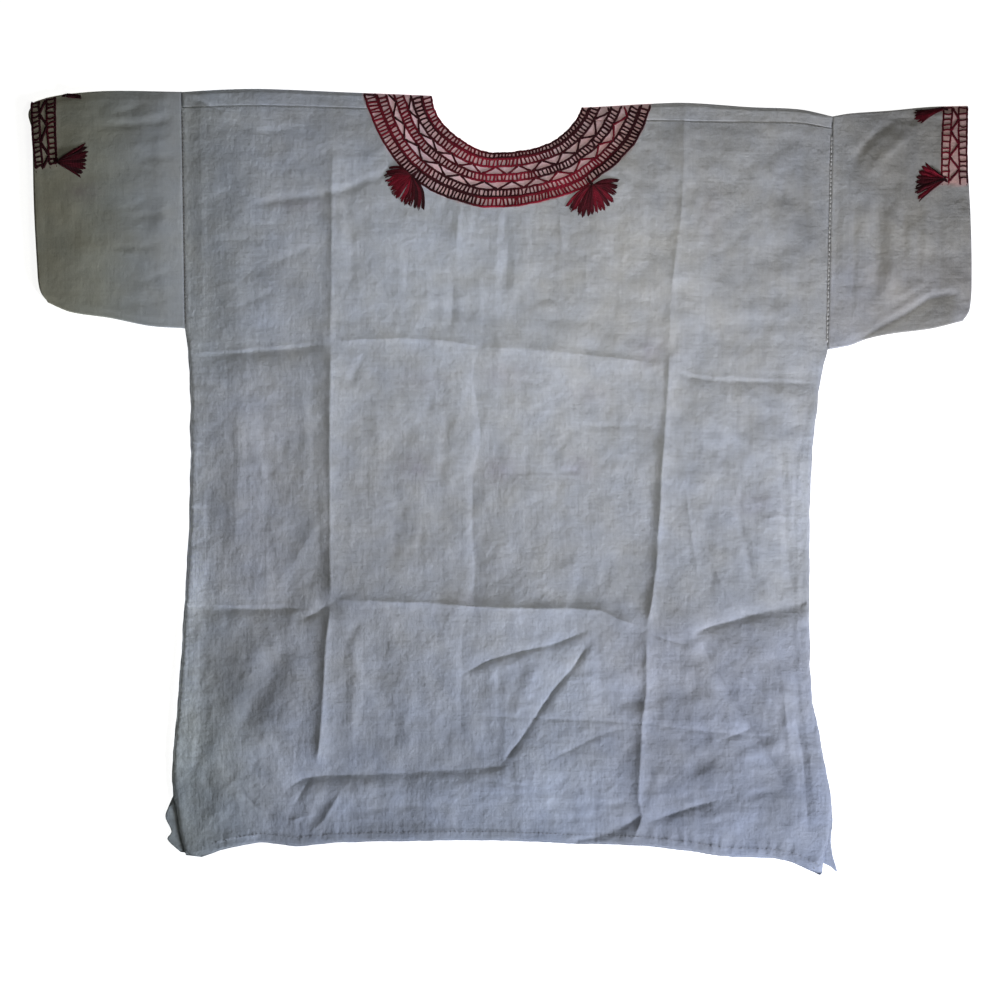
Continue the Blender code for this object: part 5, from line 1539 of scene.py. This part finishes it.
def cuff_band(threads, row, net, seed):
    """Two ladders with a zigzag between them, on both layers of a cuff."""
    edges, side = row["edges"], row["side"]
    top = curve(edges["top"], 3.0)
    order = np.argsort(top[:, 0])
    y0, y1 = row["y"]
    length = (y1 - y0) * PIXEL

    def fold_at(x):
        return np.interp(x, top[order, 0], top[order, 1])

    def place(column, s, layer):
        """column 0 to 3 from the cuff's edge inwards; s mm down from the fold."""
        t = np.clip(s / length, 0.0, 1.0)
        xs = np.array([r[0] + (r[1] - r[0]) * 0.0 for r in row["rows"]])
        xe = np.array([r[1] for r in row["rows"]])
        px = np.interp(column, np.arange(4), xs) * (1 - t) + np.interp(column, np.arange(4), xe) * t
        px = px + 0.9 * math.sin(seed) * np.sin(math.pi * t) * side
        x = (px - MID_PX[0]) * PIXEL
        y = fold_at(x) - s
        xy = np.stack([x, y], axis=-1)
        if layer > 0:
            z = net(xy) + 0.30
        else:
            z = 0.42 + (FRONT_TOP / 2.0 - 0.42) * (1.0 - np.sqrt(np.clip(1.0 - (1.0 - np.clip(s / ROUND, 0, 1)) ** 2, 0, 1)))
        return np.c_[xy, z]

    def colour(column, s, n):
        letters = row["stops"][int(round(column))]
        stops = tuple((k * length / 2.0, letters[k]) for k in range(3))
        return dye_run(stops, s, seed + n)

    for layer in (1, -1):
        flat = 0.72 if layer > 0 else 0.42
        for n in range(4):
            s = np.arange(0.2, length + RNG.uniform(-1.5, 2.0), 1.5)
            column = n + 0.05 * wave(s, 8.0, seed + n) + 0.04 * wave(s, 4.0, seed + n + 9)
            path = place(column, s, layer)
            bead = 0.9 + 0.14 * np.abs(np.sin(s * math.pi / row["pitch"] + n))
            threads.add(path, 1.15 * row["thick"] * bead, colour(n, s, n), flat=flat, pitch=2.4)
        for a, b in ((0, 1), (2, 3)):
            s = 1.8
            while s < length - 0.5:
                t = np.linspace(0.0, 1.0, 6)
                slant = RNG.normal(0.0, 0.8)
                where = s + slant * (t - 0.5) + RNG.normal(0.0, 0.5) * np.sin(math.pi * t)
                where = np.clip(where, 0.3, length)
                path = place(a + (b - a) * t, where, layer)
                if layer > 0:
                    path[:, 2] += 0.22 * np.sin(math.pi * t)
                thick = 0.95 * row["thick"] * RNG.uniform(0.84, 1.16) * (1.0 + 0.45 * np.abs(2.0 * t - 1.0) ** 3)
                threads.add(path, thick, colour(a, where, 30 + a), flat=flat, pitch=1.9, taper=0.8)
                s += row["pitch"] * (1.0 + RNG.uniform(-0.17, 0.17))
        s, out = 1.0, False
        while s < length - 4.0:
            step = row["half"] * (1.0 + RNG.uniform(-0.12, 0.12))
            step = min(step, length - s)
            t = np.linspace(0.0, 1.0, 9)
            bend = 0.5 - 0.5 * np.cos(math.pi * t)
            mix = bend if out else 1.0 - bend
            where = s + step * t
            path = place(1.14 + 0.72 * mix, where, layer)
            if layer > 0:
                path[:, 2] += 0.12
            threads.add(path, 1.35 * row["thick"], colour(1, where, 50), flat=flat, pitch=2.6)
            s += step
            out = not out
        # the loose ends below the last stitch
        for n in range(4):
            start = place(float(n), np.array([length - 1.0]), layer)[0]
            end = start + np.array([RNG.uniform(-1.5, 1.5), -RNG.uniform(2.0, 4.5), 0.0])
            t = np.linspace(0.0, 1.0, 4)[:, None]
            path = start + (end - start) * t
            if layer > 0:
                path[:, 2] = net(path[:, :2]) + 0.3
            threads.add(path, 0.5, colour(n, np.array([length]), 60)[0], flat=flat)
    # stitches that pass over the fold itself
    for n in range(4):
        xs = place(float(n), np.array([0.2]), 1)[0]
        t = np.linspace(0.0, 1.0, 7)
        a = math.pi * (t - 0.5)
        y = fold_at(np.array([xs[0]]))[0] - ROUND * (1.0 - np.cos(a)) + 0.25
        z = FRONT_TOP / 2.0 + (FRONT_TOP / 2.0 - 0.2) * np.sin(-a)
        threads.add(np.c_[np.full(7, xs[0]), y, z], 0.6, colour(n, np.array([0.0]), 70)[0])


# ------------------------------------------------------------------ tassels
# Each tassel: the CAD node, its root, the yarn tips in px going round the fan,
# the share of the strands in each gap between tips, and its dyes.
TASSELS = (
    {"node": "tassel_neck_left", "root": (411.5, 176.5), "lead": (419.0, 171.0), "strands": 84, "rise": 3.0,
     "tips": ((388.9, 167.6), (385.6, 172.0), (384.5, 176.3), (384.9, 181.6), (387.6, 186.6), (390.9, 191.0),
              (392.6, 195.6), (395.6, 199.4), (400.8, 203.1), (404.9, 206.3), (410.6, 206.6), (414.8, 209.8),
              (418.8, 211.2), (424.6, 211.2)),
     "gaps": ((388.0, 177.5), (394.5, 193.0), (407.6, 199.0), (412.2, 204.0)),
     "dyes": "MMMCCCCCCMMKMK", "bend": 0.16},
    {"node": "tassel_neck_right", "root": (592.0, 185.5), "lead": (587.0, 178.0), "strands": 96, "rise": 3.2,
     "tips": ((565.2, 207.0), (569.2, 210.8), (571.2, 213.0), (577.6, 216.2), (582.4, 218.2), (588.4, 216.6),
              (592.0, 215.8), (597.4, 214.2), (601.0, 211.6), (605.0, 212.0), (609.6, 206.6), (613.6, 203.0),
              (616.6, 194.0), (618.0, 187.6), (619.6, 180.4)),
     "gaps": ((596.4, 201.5), (574.2, 213.6), (586.0, 213.6)),
     "dyes": "CMCMMMMCCCMCMMM", "bend": 0.08},
    {"node": "tassel_cuff_left_low", "root": (58.4, 162.4), "lead": (54.0, 161.0), "strands": 78, "rise": 2.8,
     "tips": ((86.4, 143.3), (88.0, 147.4), (89.4, 152.0), (88.2, 156.2), (88.0, 160.8), (87.4, 165.0),
              (86.8, 168.8), (83.4, 173.6), (81.4, 178.2)),
     "gaps": (), "dyes": "MKMMKMMKM", "bend": 0.03},
    {"node": "tassel_cuff_left_top", "root": (66.0, 95.3), "lead": (62.0, 96.0), "strands": 26, "rise": 1.6,
     "tips": ((81.6, 98.6), (82.2, 97.2), (81.0, 95.6), (79.0, 94.8)),
     "gaps": (), "dyes": "KKKK", "bend": 0.0},
    {"node": "tassel_cuff_right_top", "root": (943.4, 108.4), "lead": (948.0, 109.5), "strands": 54, "rise": 2.4,
     "tips": ((914.4, 110.4), (913.4, 113.2), (914.6, 116.4), (914.0, 119.2), (917.0, 122.2), (920.4, 124.0)),
     "gaps": ((918.5, 117.4),), "dyes": "KMMCCM", "bend": -0.05},
    {"node": "tassel_cuff_right_low", "root": (943.4, 179.6), "lead": (947.0, 182.0), "strands": 82, "rise": 2.8,
     "tips": ((924.8, 163.0), (921.0, 166.6), (917.8, 171.6), (915.2, 177.4), (914.8, 182.4), (914.0, 189.0),
              (914.2, 193.4), (916.8, 199.6), (918.2, 202.4)),
     "gaps": ((931.0, 175.0), (919.0, 186.0), (924.0, 190.6)), "dyes": "CRCMMKMCM", "bend": -0.04},
)


def build_tassel(row, net):
    threads = Threads(sides=5)
    root = np.array(at(*row["root"]))
    lead = np.array(at(*row["lead"]))
    tips = np.array([at(*t) for t in row["tips"]])
    gaps = np.array([at(*g) for g in row["gaps"]]) if row["gaps"] else np.zeros((0, 2))
    count = int(row["strands"] * 1.7)
    middle = tips.mean(0)
    axis = (middle - root) / np.linalg.norm(middle - root)
    across = np.array([-axis[1], axis[0]])
    spots = []
    for i in range(count):
        f = (i + 0.5 + RNG.uniform(-0.45, 0.45)) / count * (len(tips) - 1)
        clump = int(round(f))
        g = clump + (f - clump) * 0.74
        base = min(int(g), len(tips) - 2)
        tip = tips[base] + (tips[base + 1] - tips[base]) * (g - base)
        spots.append((f, clump, tip, i))
    order = RNG.permutation(count)
    for rank, which in enumerate(order):
        f, clump, tip, i = spots[which]
        reach = 1.0 - abs(f - clump) * 0.16 - max(0.0, RNG.normal(0.0, 0.05))
        reach = min(max(reach, 0.72), 1.02)
        end = root + (tip - root) * reach
        level = rank / count
        t = np.linspace(0.0, 1.0, 10)
        spread = (f / (len(tips) - 1) - 0.5) * 2.0
        start = root + across * spread * 1.3 * (1 if np.dot(tips[-1] - tips[0], across) > 0 else -1)
        bow = np.linalg.norm(end - start) * (row["bend"] * spread + RNG.normal(0.0, 0.02))
        d = (end - start) / max(np.linalg.norm(end - start), 1e-6)
        n = np.array([-d[1], d[0]])
        xy = start + (end - start) * t[:, None] + n * (bow * np.sin(math.pi * t))[:, None]
        for gap in gaps:
            away = xy - gap
            dist = np.linalg.norm(away, axis=1)
            push = 1.9 * np.exp(-(dist / 3.4) ** 2)
            xy = xy + away / np.maximum(dist, 0.3)[:, None] * (push * smooth(t * 3.0))[:, None]
        thick = row["rise"] * (0.25 + 0.75 * level)
        rise = 0.55 + (thick - 0.4) * (1.0 - smooth((t - 0.15) / 0.85)) + 0.5 * level * (1.0 - t)
        z = net(xy) + rise + 0.16 * np.sin(t * 7.0 + i)
        z[0] -= 0.2 * thick
        dye_name = row["dyes"][min(clump, len(row["dyes"]) - 1)]
        base = DYES[dye_name] * (1.0 + RNG.normal(0.0, 0.22))
        fade = 1.0 - 0.45 * smooth((t - 0.72) / 0.28)
        centre = 0.62 + 0.38 * smooth(t / 0.35)
        colour = np.clip(base[None, :] * (fade * centre)[:, None], 0.003, 1.0)
        radius = 0.86 * (1.0 - 0.30 * t) * RNG.uniform(0.8, 1.2)
        threads.add(np.c_[xy, z], radius, colour, flat=0.9, pitch=1.7, taper=0.45)
    # the binding at the root and the yarns that sew it to the band
    height = net(root[None, :])[0]
    for k in range(4):
        a = np.linspace(0.0, math.pi, 8)
        centre = root + axis * (1.2 + 0.85 * k)
        xy = centre + across * (2.1 * np.cos(a))[:, None]
        z = height + 0.5 + row["rise"] * 0.95 * np.sin(a)
        threads.add(np.c_[xy, z], 0.5, MAROON * RNG.uniform(0.7, 1.3), flat=0.9, pitch=1.4)
    for k in range(4):
        t = np.linspace(0.0, 1.0, 6)
        shift = across * (k - 1.5) * 0.9
        xy = root + shift + (lead + shift * 0.6 - root - shift) * t[:, None]
        z = net(xy) + 0.8 + row["rise"] * 0.45 * (1.0 - t) ** 2
        threads.add(np.c_[xy, z], 0.6, BLACK * RNG.uniform(0.8, 1.5), flat=0.85, pitch=1.6)
    obj = threads.make(row["node"] + "_yarn")
    return obj


# ------------------------------------------------------------------ stitches
def dashes(threads, path, pitch, long, height, colour, seed, radius=0.22, flat=0.8):
    """A running stitch along a path."""
    path = even(path, 0.5)
    run = lengths(path)
    s = pitch * 0.5
    rng = np.random.default_rng(seed)
    rows = []
    while s + long < run[-1]:
        t = np.linspace(s, s + long, 4)
        xy = np.stack([np.interp(t, run, path[:, k]) for k in (0, 1)], axis=1)
        rows.append(xy + rng.normal(0.0, 0.08, 2))
        s += pitch * (1.0 + rng.uniform(-0.12, 0.12))
    z = height(np.concatenate(rows)).reshape(-1, 4) + np.array([-0.05, 0.16, 0.16, -0.05])
    for xy, rise in zip(rows, z):
        threads.add(np.c_[xy, rise], radius, colour * rng.uniform(0.93, 1.05), flat=flat, pitch=1.0, taper=0.6)


# ------------------------------------------------------------------ building
def build_front():
    lines = []
    for n, (rise, width, form, *knots) in enumerate(FRONT_FOLDS):
        if form != "sharp":
            continue
        path = curve([at(*k) for k in knots], 9.0)
        run = lengths(path)
        d = np.gradient(path, axis=0)
        d /= np.linalg.norm(d, axis=1)[:, None]
        normal = np.stack([-d[:, 1], d[:, 0]], axis=1)
        path = path + normal * (0.5 * wave(run, 31.0, 100 + n))[:, None]
        for off in (0.0, -1.3, 1.3):
            row = even(path + normal * off, 2.8)
            row = row[inside(row, FRONT_LOOP)]
            index, _, _, _ = near(row, np.r_[FRONT_LOOP, FRONT_LOOP[:1]], 2.2)
            keep = np.ones(len(row), bool)
            keep[index] = False
            row = row[keep]
            if len(row) > 2:
                lines.append(row)
    for table, width in ((HEM_LIP_PX, 0.9), (TAIL_LIP_PX, 0.9)):
        lines.append(even([at(*p) for p in table], 2.4)[1:-1])
    for off in (2.6, 5.0, 7.4, 9.8, 11.2, 13.4, 15.8, 18.4):
        row = offset_loop(FRONT_LOOP, off)
        row = row[np.sort(near(row, HEM_F, off + 0.5)[0])]
        row = row[(row[:, 0] > -300.0) & (row[:, 0] < 315.0)]
        lines.append(even(row, 2.0))
    upper = plan(FRONT_LOOP, lines, GRID, GRID * 0.62, rims=(0.8, 2.0))
    lower = plan(FRONT_LOOP, [], 13.0, 6.0, rims=())
    top_z = front_top(upper[0])
    low = lower[0]
    around = [(0, 0), (6, 0), (-6, 0), (0, 6), (0, -6), (4, 4), (-4, 4), (4, -4), (-4, -4)]
    net = Net(front_relief, FRONT_LOOP.min(0) - 10, FRONT_LOOP.max(0) + 10, 3.0)
    depth = np.min([net(low + np.array(s, float)) for s in around], axis=0)
    low_z = np.maximum(FRONT_TOP - 0.95 + depth - 0.25, LOW_TOP + 0.25)
    rim = np.unique(lower[2])
    low_z[rim] = np.maximum(net(low[rim]) + FRONT_TOP - WALL, LOW_TOP + 0.2)
    return shell("front_cloth", upper, top_z, lower, low_z, front_tint(upper[0]), tint(low))


def strip(fold, seam, neck_end, left):
    """Rows from the top fold down to the shoulder seam, upper layer of the back."""
    f = fold[:, :2].copy()
    s = seam.copy() + np.array([0.0, 0.12])
    k = 7
    ramp = smooth((np.arange(k) + 1.0) / k)
    target = neck_end + np.array([0.0, SEAM_GAP])
    if left:
        s[-k:] += ramp[:, None] * (target - s[-1])
        arm = ARM_L[5] + np.array([0.25, SEAM_GAP])
        s[:4] += (arm - s[0]) * (1.0 - np.arange(4)[:, None] / 4.0)
    else:
        s[:k] += ramp[::-1][:, None] * (target - s[0])
        arm = ARM_R[4] + np.array([-0.25, SEAM_GAP])
        s[-4:] += (arm - s[-1]) * (np.arange(1, 5)[:, None] / 4.0)
    return f, s


def build_back():
    """The panel underneath, which comes round the top fold to the shoulder seams."""
    a = np.linspace(0.0, 1.0, 150)
    start = math.atan2(TOP_FOLD_LEFT[-1][1] - HIDDEN_MID[1], TOP_FOLD_LEFT[-1][0] - HIDDEN_MID[0])
    end = math.atan2(TOP_FOLD_RIGHT[0][1] - HIDDEN_MID[1], TOP_FOLD_RIGHT[0][0] - HIDDEN_MID[0]) + 2 * math.pi
    theta = start + (end - start) * a
    arc = np.stack([HIDDEN_MID[0] + 88.0 * np.cos(theta), HIDDEN_MID[1] + 88.0 * np.sin(theta)], axis=1)
    tuck = np.array([0.0, -0.85])
    fold_l, fold_r = FOLD_L[:, :2] + tuck, FOLD_R[:, :2] + tuck
    arc = arc[3:-3]
    loop = join(
        fold_l, arc, fold_r, ARM_R[3:], EDGE_R, curve(BACK_CORNER_RIGHT, 3.0), HEM_B,
        curve(BACK_CORNER_LEFT, 3.0)[::-1], EDGE_L[::-1], ARM_L[3:][::-1],
    )
    flat, faces, rim = plan(loop, [], 6.2, 3.6, rims=(1.2,))
    middle_z = 0.72 + back_relief(flat)
    verts = [np.c_[flat, middle_z]]
    tris = [faces[:, ::-1]]     # this side faces down
    quads = []
    count = len(flat)
    tree = KDTree(len(flat))
    for i, p in enumerate(flat):
        tree.insert((p[0], p[1], 0.0), i)
    tree.balance()
    for fold, seam, neck_end, left in ((FOLD_L, SEAM_L, NECK_END_L, True), (FOLD_R, SEAM_R, NECK_END_R, False)):
        f, s = strip(fold, seam, neck_end, left)
        n = len(f)
        base = [tree.find((p[0] + tuck[0], p[1] + tuck[1], 0.0))[1] for p in f]
        rows = [base]
        for k in range(1, 6):
            angle = -math.pi / 2 + math.pi * k / 6.0
            y = f[:, 1] - 0.85 + 0.85 * math.cos(angle)
            z = 1.55 + 0.83 * math.sin(angle)
            verts.append(np.c_[f[:, 0], y, np.full(n, z)])
            rows.append(list(range(count, count + n)))
            count += n
        steps = 8
        for k in range(steps + 1):
            t = k / steps
            # the first row lies just inside the fold, and the last on the seam
            p = f + np.array([0.0, -0.85]) + (s - f - np.array([0.0, -0.85])) * t
            z = front_top(p) - WALL / 2.0 - 0.25 * t
            if k == 0:
                z = np.full(n, 1.55 + 0.83)
            verts.append(np.c_[p, z])
            rows.append(list(range(count, count + n)))
            count += n
        for low, high in zip(rows, rows[1:]):
            for i in range(n - 1):
                quads.append((low[i], low[i + 1], high[i + 1], high[i]))
    verts = np.concatenate(verts)
    quads = np.array([q for q in quads if len(set(q)) == 4])
    obj = new_mesh("back_cloth", verts, [tris[0], quads[:, ::-1]], tint(verts[:, :2]))
    wall = obj.modifiers.new("wall", "SOLIDIFY")
    wall.thickness = 0.55 * MM
    wall.offset = 0.0
    wall.use_even_offset = False
    return obj


def back_relief(points):
    """Creases of the panel underneath, all upwards, so that it rests flat."""
    h = np.zeros(len(points))
    rows = [(abs(r[0]) * 0.4, 6.0, *r[2:]) for r in FRONT_FOLDS if abs(r[0]) > 0.9]
    add_folds(h, points, rows, 600, 0.5)
    h += 0.10 * np.abs(perlin(points, 46.0, 81)) + 0.08 * np.abs(perlin(points, 19.0, 82))
    index, off, along, _ = near(points, HEM_B, 16.0)
    gap = np.abs(off)
    h[index] += 0.12 * np.abs(wave(along, 8.0, 83)) * np.exp(-gap / 8.0)
    # room under the cloth for the thread work round the hidden half of the neck
    reach = np.hypot(points[:, 0] - HIDDEN_MID[0], points[:, 1] - HIDDEN_MID[1])
    band = 1.0 - smooth((reach - HIDDEN_RADIUS[1] - 3.0) / 14.0)
    h = np.minimum(h, 0.55) * (1.0 - 0.6 * band) + 0.22 * band
    edge = np.full(len(points), 30.0)
    ring = np.r_[UPPER_LOOP, UPPER_LOOP[:1]]
    index, off, _, _ = near(points, even(ring, 10.0), 30.0)
    edge[index] = np.abs(off)
    return np.clip(h * (0.25 + 0.75 * smooth(edge / 24.0)), 0.0, 0.62)


COTTON = cotton("cotton_plain_weave")
SMOOTH_COTTON = cotton("cotton_plain_weave_smooth", 0.8, 0.5, 0.55)
THREAD = thread("embroidery_thread")
YARN = thread("tassel_yarn", sheen=0.08, rough=0.7, ply=1.4)
SEWING = thread("sewing_thread", sheen=0.1, rough=0.7, ply=0.5)


def finish_piece(obj, material, slot, *nodes):
    obj.data.materials.append(material)
    if nodes:
        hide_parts(*nodes)
    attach(obj, "root")
    return obj


front = finish_piece(build_front(), COTTON, "cotton", "front")
back = finish_piece(build_back(), COTTON, "cotton", "back")
sleeve_l = finish_piece(build_sleeve("sleeve_left_cloth", SLEEVE_LEFT, SLEEVE_LEFT_FOLDS, 700, -1), SMOOTH_COTTON, "cotton", "sleeve_left")
sleeve_r = finish_piece(build_sleeve("sleeve_right_cloth", SLEEVE_RIGHT, SLEEVE_RIGHT_FOLDS, 800, 1), COTTON, "cotton", "sleeve_right")

NECK_NET = Net(front_top, (-165.0, 235.0), (175.0, 420.0))
LEFT_NET = Net(lambda p: sleeve_top(p, SLEEVE_LEFT, SLEEVE_LEFT_FOLDS, 700, -1)[0], (-505.0, 280.0), (-400.0, 420.0))
RIGHT_NET = Net(lambda p: sleeve_top(p, SLEEVE_RIGHT, SLEEVE_RIGHT_FOLDS, 800, 1)[0], (415.0, 280.0), (505.0, 405.0))

work = Threads()
neck_band(work, NECK_NET)
neck_work = finish_piece(work.make("neck_embroidery"), THREAD, "embroidery_thread")


def under_neck(xy):
    return np.full(len(xy), 0.34)


work = Threads(sides=5)
hidden_band(work, under_neck)
hidden_work = finish_piece(work.make("neck_embroidery_back"), THREAD, "embroidery_thread")

for label, row, net, seed in (("left", CUFF_LEFT, LEFT_NET, 901), ("right", CUFF_RIGHT, RIGHT_NET, 903)):
    work = Threads()
    cuff_band(work, row, net, seed)
    finish_piece(work.make("cuff_embroidery_" + label), THREAD, "embroidery_thread")

tassels = []
for row in TASSELS:
    net = NECK_NET if "neck" in row["node"] else (LEFT_NET if "left" in row["node"] else RIGHT_NET)
    tassels.append(finish_piece(build_tassel(row, net), YARN, "embroidery_thread", row["node"]))

sewing = Threads(sides=5)
pale = BASE * np.array([1.0, 1.03, 1.15])
hem_line = offset_loop(FRONT_LOOP, 9.6)
hem_line = hem_line[np.sort(near(hem_line, HEM_F, 10.2)[0])]
dashes(sewing, hem_line, 4.4, 2.9, front_top, pale, 1)
for seam, shift in ((SEAM_L, -1.6), (SEAM_R, -1.6)):
    dashes(sewing, seam[3:-5] + np.array([0.0, shift]), 3.4, 2.2, front_top, pale, 2)
dashes(sewing, ARM_L[8:] + np.array([1.8, 0.0]), 3.2, 2.1, front_top, pale, 3)
dashes(sewing, ARM_R[8:] + np.array([-1.8, 0.0]), 3.2, 2.1, front_top, pale, 4)
# the seams that join the sleeves, close stitches drawn into the groove; the left seam's thread is darkened and the
# right one's lightened, painted shade and painted light
for arm, shade, seed, shift, rise in ((ARM_L, 0.42, 5, 0.3, 0.25), (ARM_R, 1.5, 6, -0.7, 1.0)):
    dashes(sewing, arm[6:-1] + np.array([shift, 0.0]), 4.6, 4.4, lambda xy: np.full(len(xy), FRONT_TOP + rise), BASE * shade,
           seed, radius=0.8, flat=0.6)
seams = finish_piece(sewing.make("sewing_stitches"), SEWING, "cotton")


def allowances():
    """The turned edges inside the garment where the sleeves are sewn on."""
    verts, quads = [], []
    for arm, side in ((ARM_L, -1.0), (ARM_R, 1.0)):
        path = even(arm[2:-2], 4.0)
        run = lengths(path)
        first = len(verts)
        across = np.array([-9.0, -3.0, 3.0, 9.0])
        for p, s in zip(path, run):
            lift = 1.62 + 0.10 * math.sin(s * 0.21)
            for x in across:
                verts.append((p[0] + x + 0.5 * math.sin(s * 0.13), p[1], lift + 0.05 * math.sin(s * 0.5 + x)))
        n = len(across)
        for i in range(len(path) - 1):
            for j in range(n - 1):
                a = first + i * n + j
                quads.append((a, a + 1, a + n + 1, a + n))
    verts = np.array(verts)
    obj = new_mesh("seam_allowances", verts, [np.array(quads)[:, ::-1]], tint(verts[:, :2]))
    wall = obj.modifiers.new("wall", "SOLIDIFY")
    wall.thickness = 0.25 * MM
    wall.offset = 0.0
    return obj


inner_edges = finish_piece(allowances(), COTTON, "cotton")


# ------------------------------------------------------------------ floor, lights, camera
def floor_material():
    n = Nodes("pale_floor")
    place = n.add("ShaderNodeTexCoord").outputs["Object"]
    cloud = n.add("ShaderNodeTexNoise", {"Vector": place, "Scale": 1.3, "Detail": 3.0}).outputs[0]
    ramp = n.add("ShaderNodeValToRGB", {0: cloud})
    ramp.color_ramp.elements[0].color = (0.86, 0.86, 0.86, 1.0)
    ramp.color_ramp.elements[1].color = (0.90, 0.90, 0.90, 1.0)
    n.link(ramp.outputs[0], "Base Color")
    n.shader.inputs["Roughness"].default_value = 0.95
    n.shader.inputs["Specular IOR Level"].default_value = 0.1
    n.shader.inputs["Emission Color"].default_value = (1.0, 1.0, 1.0, 1.0)
    n.shader.inputs["Emission Strength"].default_value = 0.88
    return n.material


floor = new_mesh(
    "floor", np.array([(-9000, -9000, -0.4), (9000, -9000, -0.4), (9000, 9000, -0.4), (-9000, 9000, -0.4)]),
    [np.array([(0, 1, 2, 3)])],
)
floor.data.materials.append(floor_material())


def area_light(name, place, target, size, power, colour):
    data = bpy.data.lights.new(name, "AREA")
    data.shape = "DISK"
    data.size = size
    data.energy = power
    data.color = colour
    obj = bpy.data.objects.new(name, data)
    bpy.context.scene.collection.objects.link(obj)
    obj.location = place
    obj.rotation_mode = "QUATERNION"
    obj.rotation_quaternion = (Vector(target) - Vector(place)).to_track_quat("-Z", "Y")
    obj.visible_camera = False
    return obj


KEY_TURN, KEY_RISE, KEY_AWAY = math.radians(-47.0), math.radians(21.0), 1.6
area_light(
    "key",
    (KEY_AWAY * math.cos(KEY_RISE) * math.cos(KEY_TURN), KEY_AWAY * math.cos(KEY_RISE) * math.sin(KEY_TURN), KEY_AWAY * math.sin(KEY_RISE)),
    (0.0, 0.25, 0.0), 0.36, 19.0, (0.955, 0.985, 1.08),
)
area_light("fill", (0.0, 0.20, 0.45), (0.0, 0.20, 0.0), 0.35, 0.78, (1.05, 1.02, 0.92))
area_light("fill_right", (0.36, 0.11, 0.33), (0.36, 0.11, 0.0), 0.25, 0.15, (1.02, 1.0, 0.98))

world = bpy.context.scene.world or bpy.data.worlds.new("studio")
bpy.context.scene.world = world
world.use_nodes = True
background = world.node_tree.nodes.get("Background")
if background is None:
    background = world.node_tree.nodes.new("ShaderNodeBackground")
    output = world.node_tree.nodes.new("ShaderNodeOutputWorld")
    world.node_tree.links.new(background.outputs[0], output.inputs[0])
background.inputs[0].default_value = (1.0, 0.985, 0.93, 1.0)
background.inputs[1].default_value = 0.035

AWAY = 3.2
camera_data = bpy.data.cameras.new("camera")
camera_data.type = "PERSP"
camera_data.sensor_width = 36.0
camera_data.lens = 36.0 * AWAY / (1000.0 * PIXEL * MM)
camera = bpy.data.objects.new("camera", camera_data)
camera.location = (0.0, (MID_PX[1] - 500.0) * PIXEL * MM, AWAY + 0.003)
bpy.context.scene.collection.objects.link(camera)
bpy.context.scene.camera = camera
bpy.context.scene.view_settings.view_transform = "Standard"
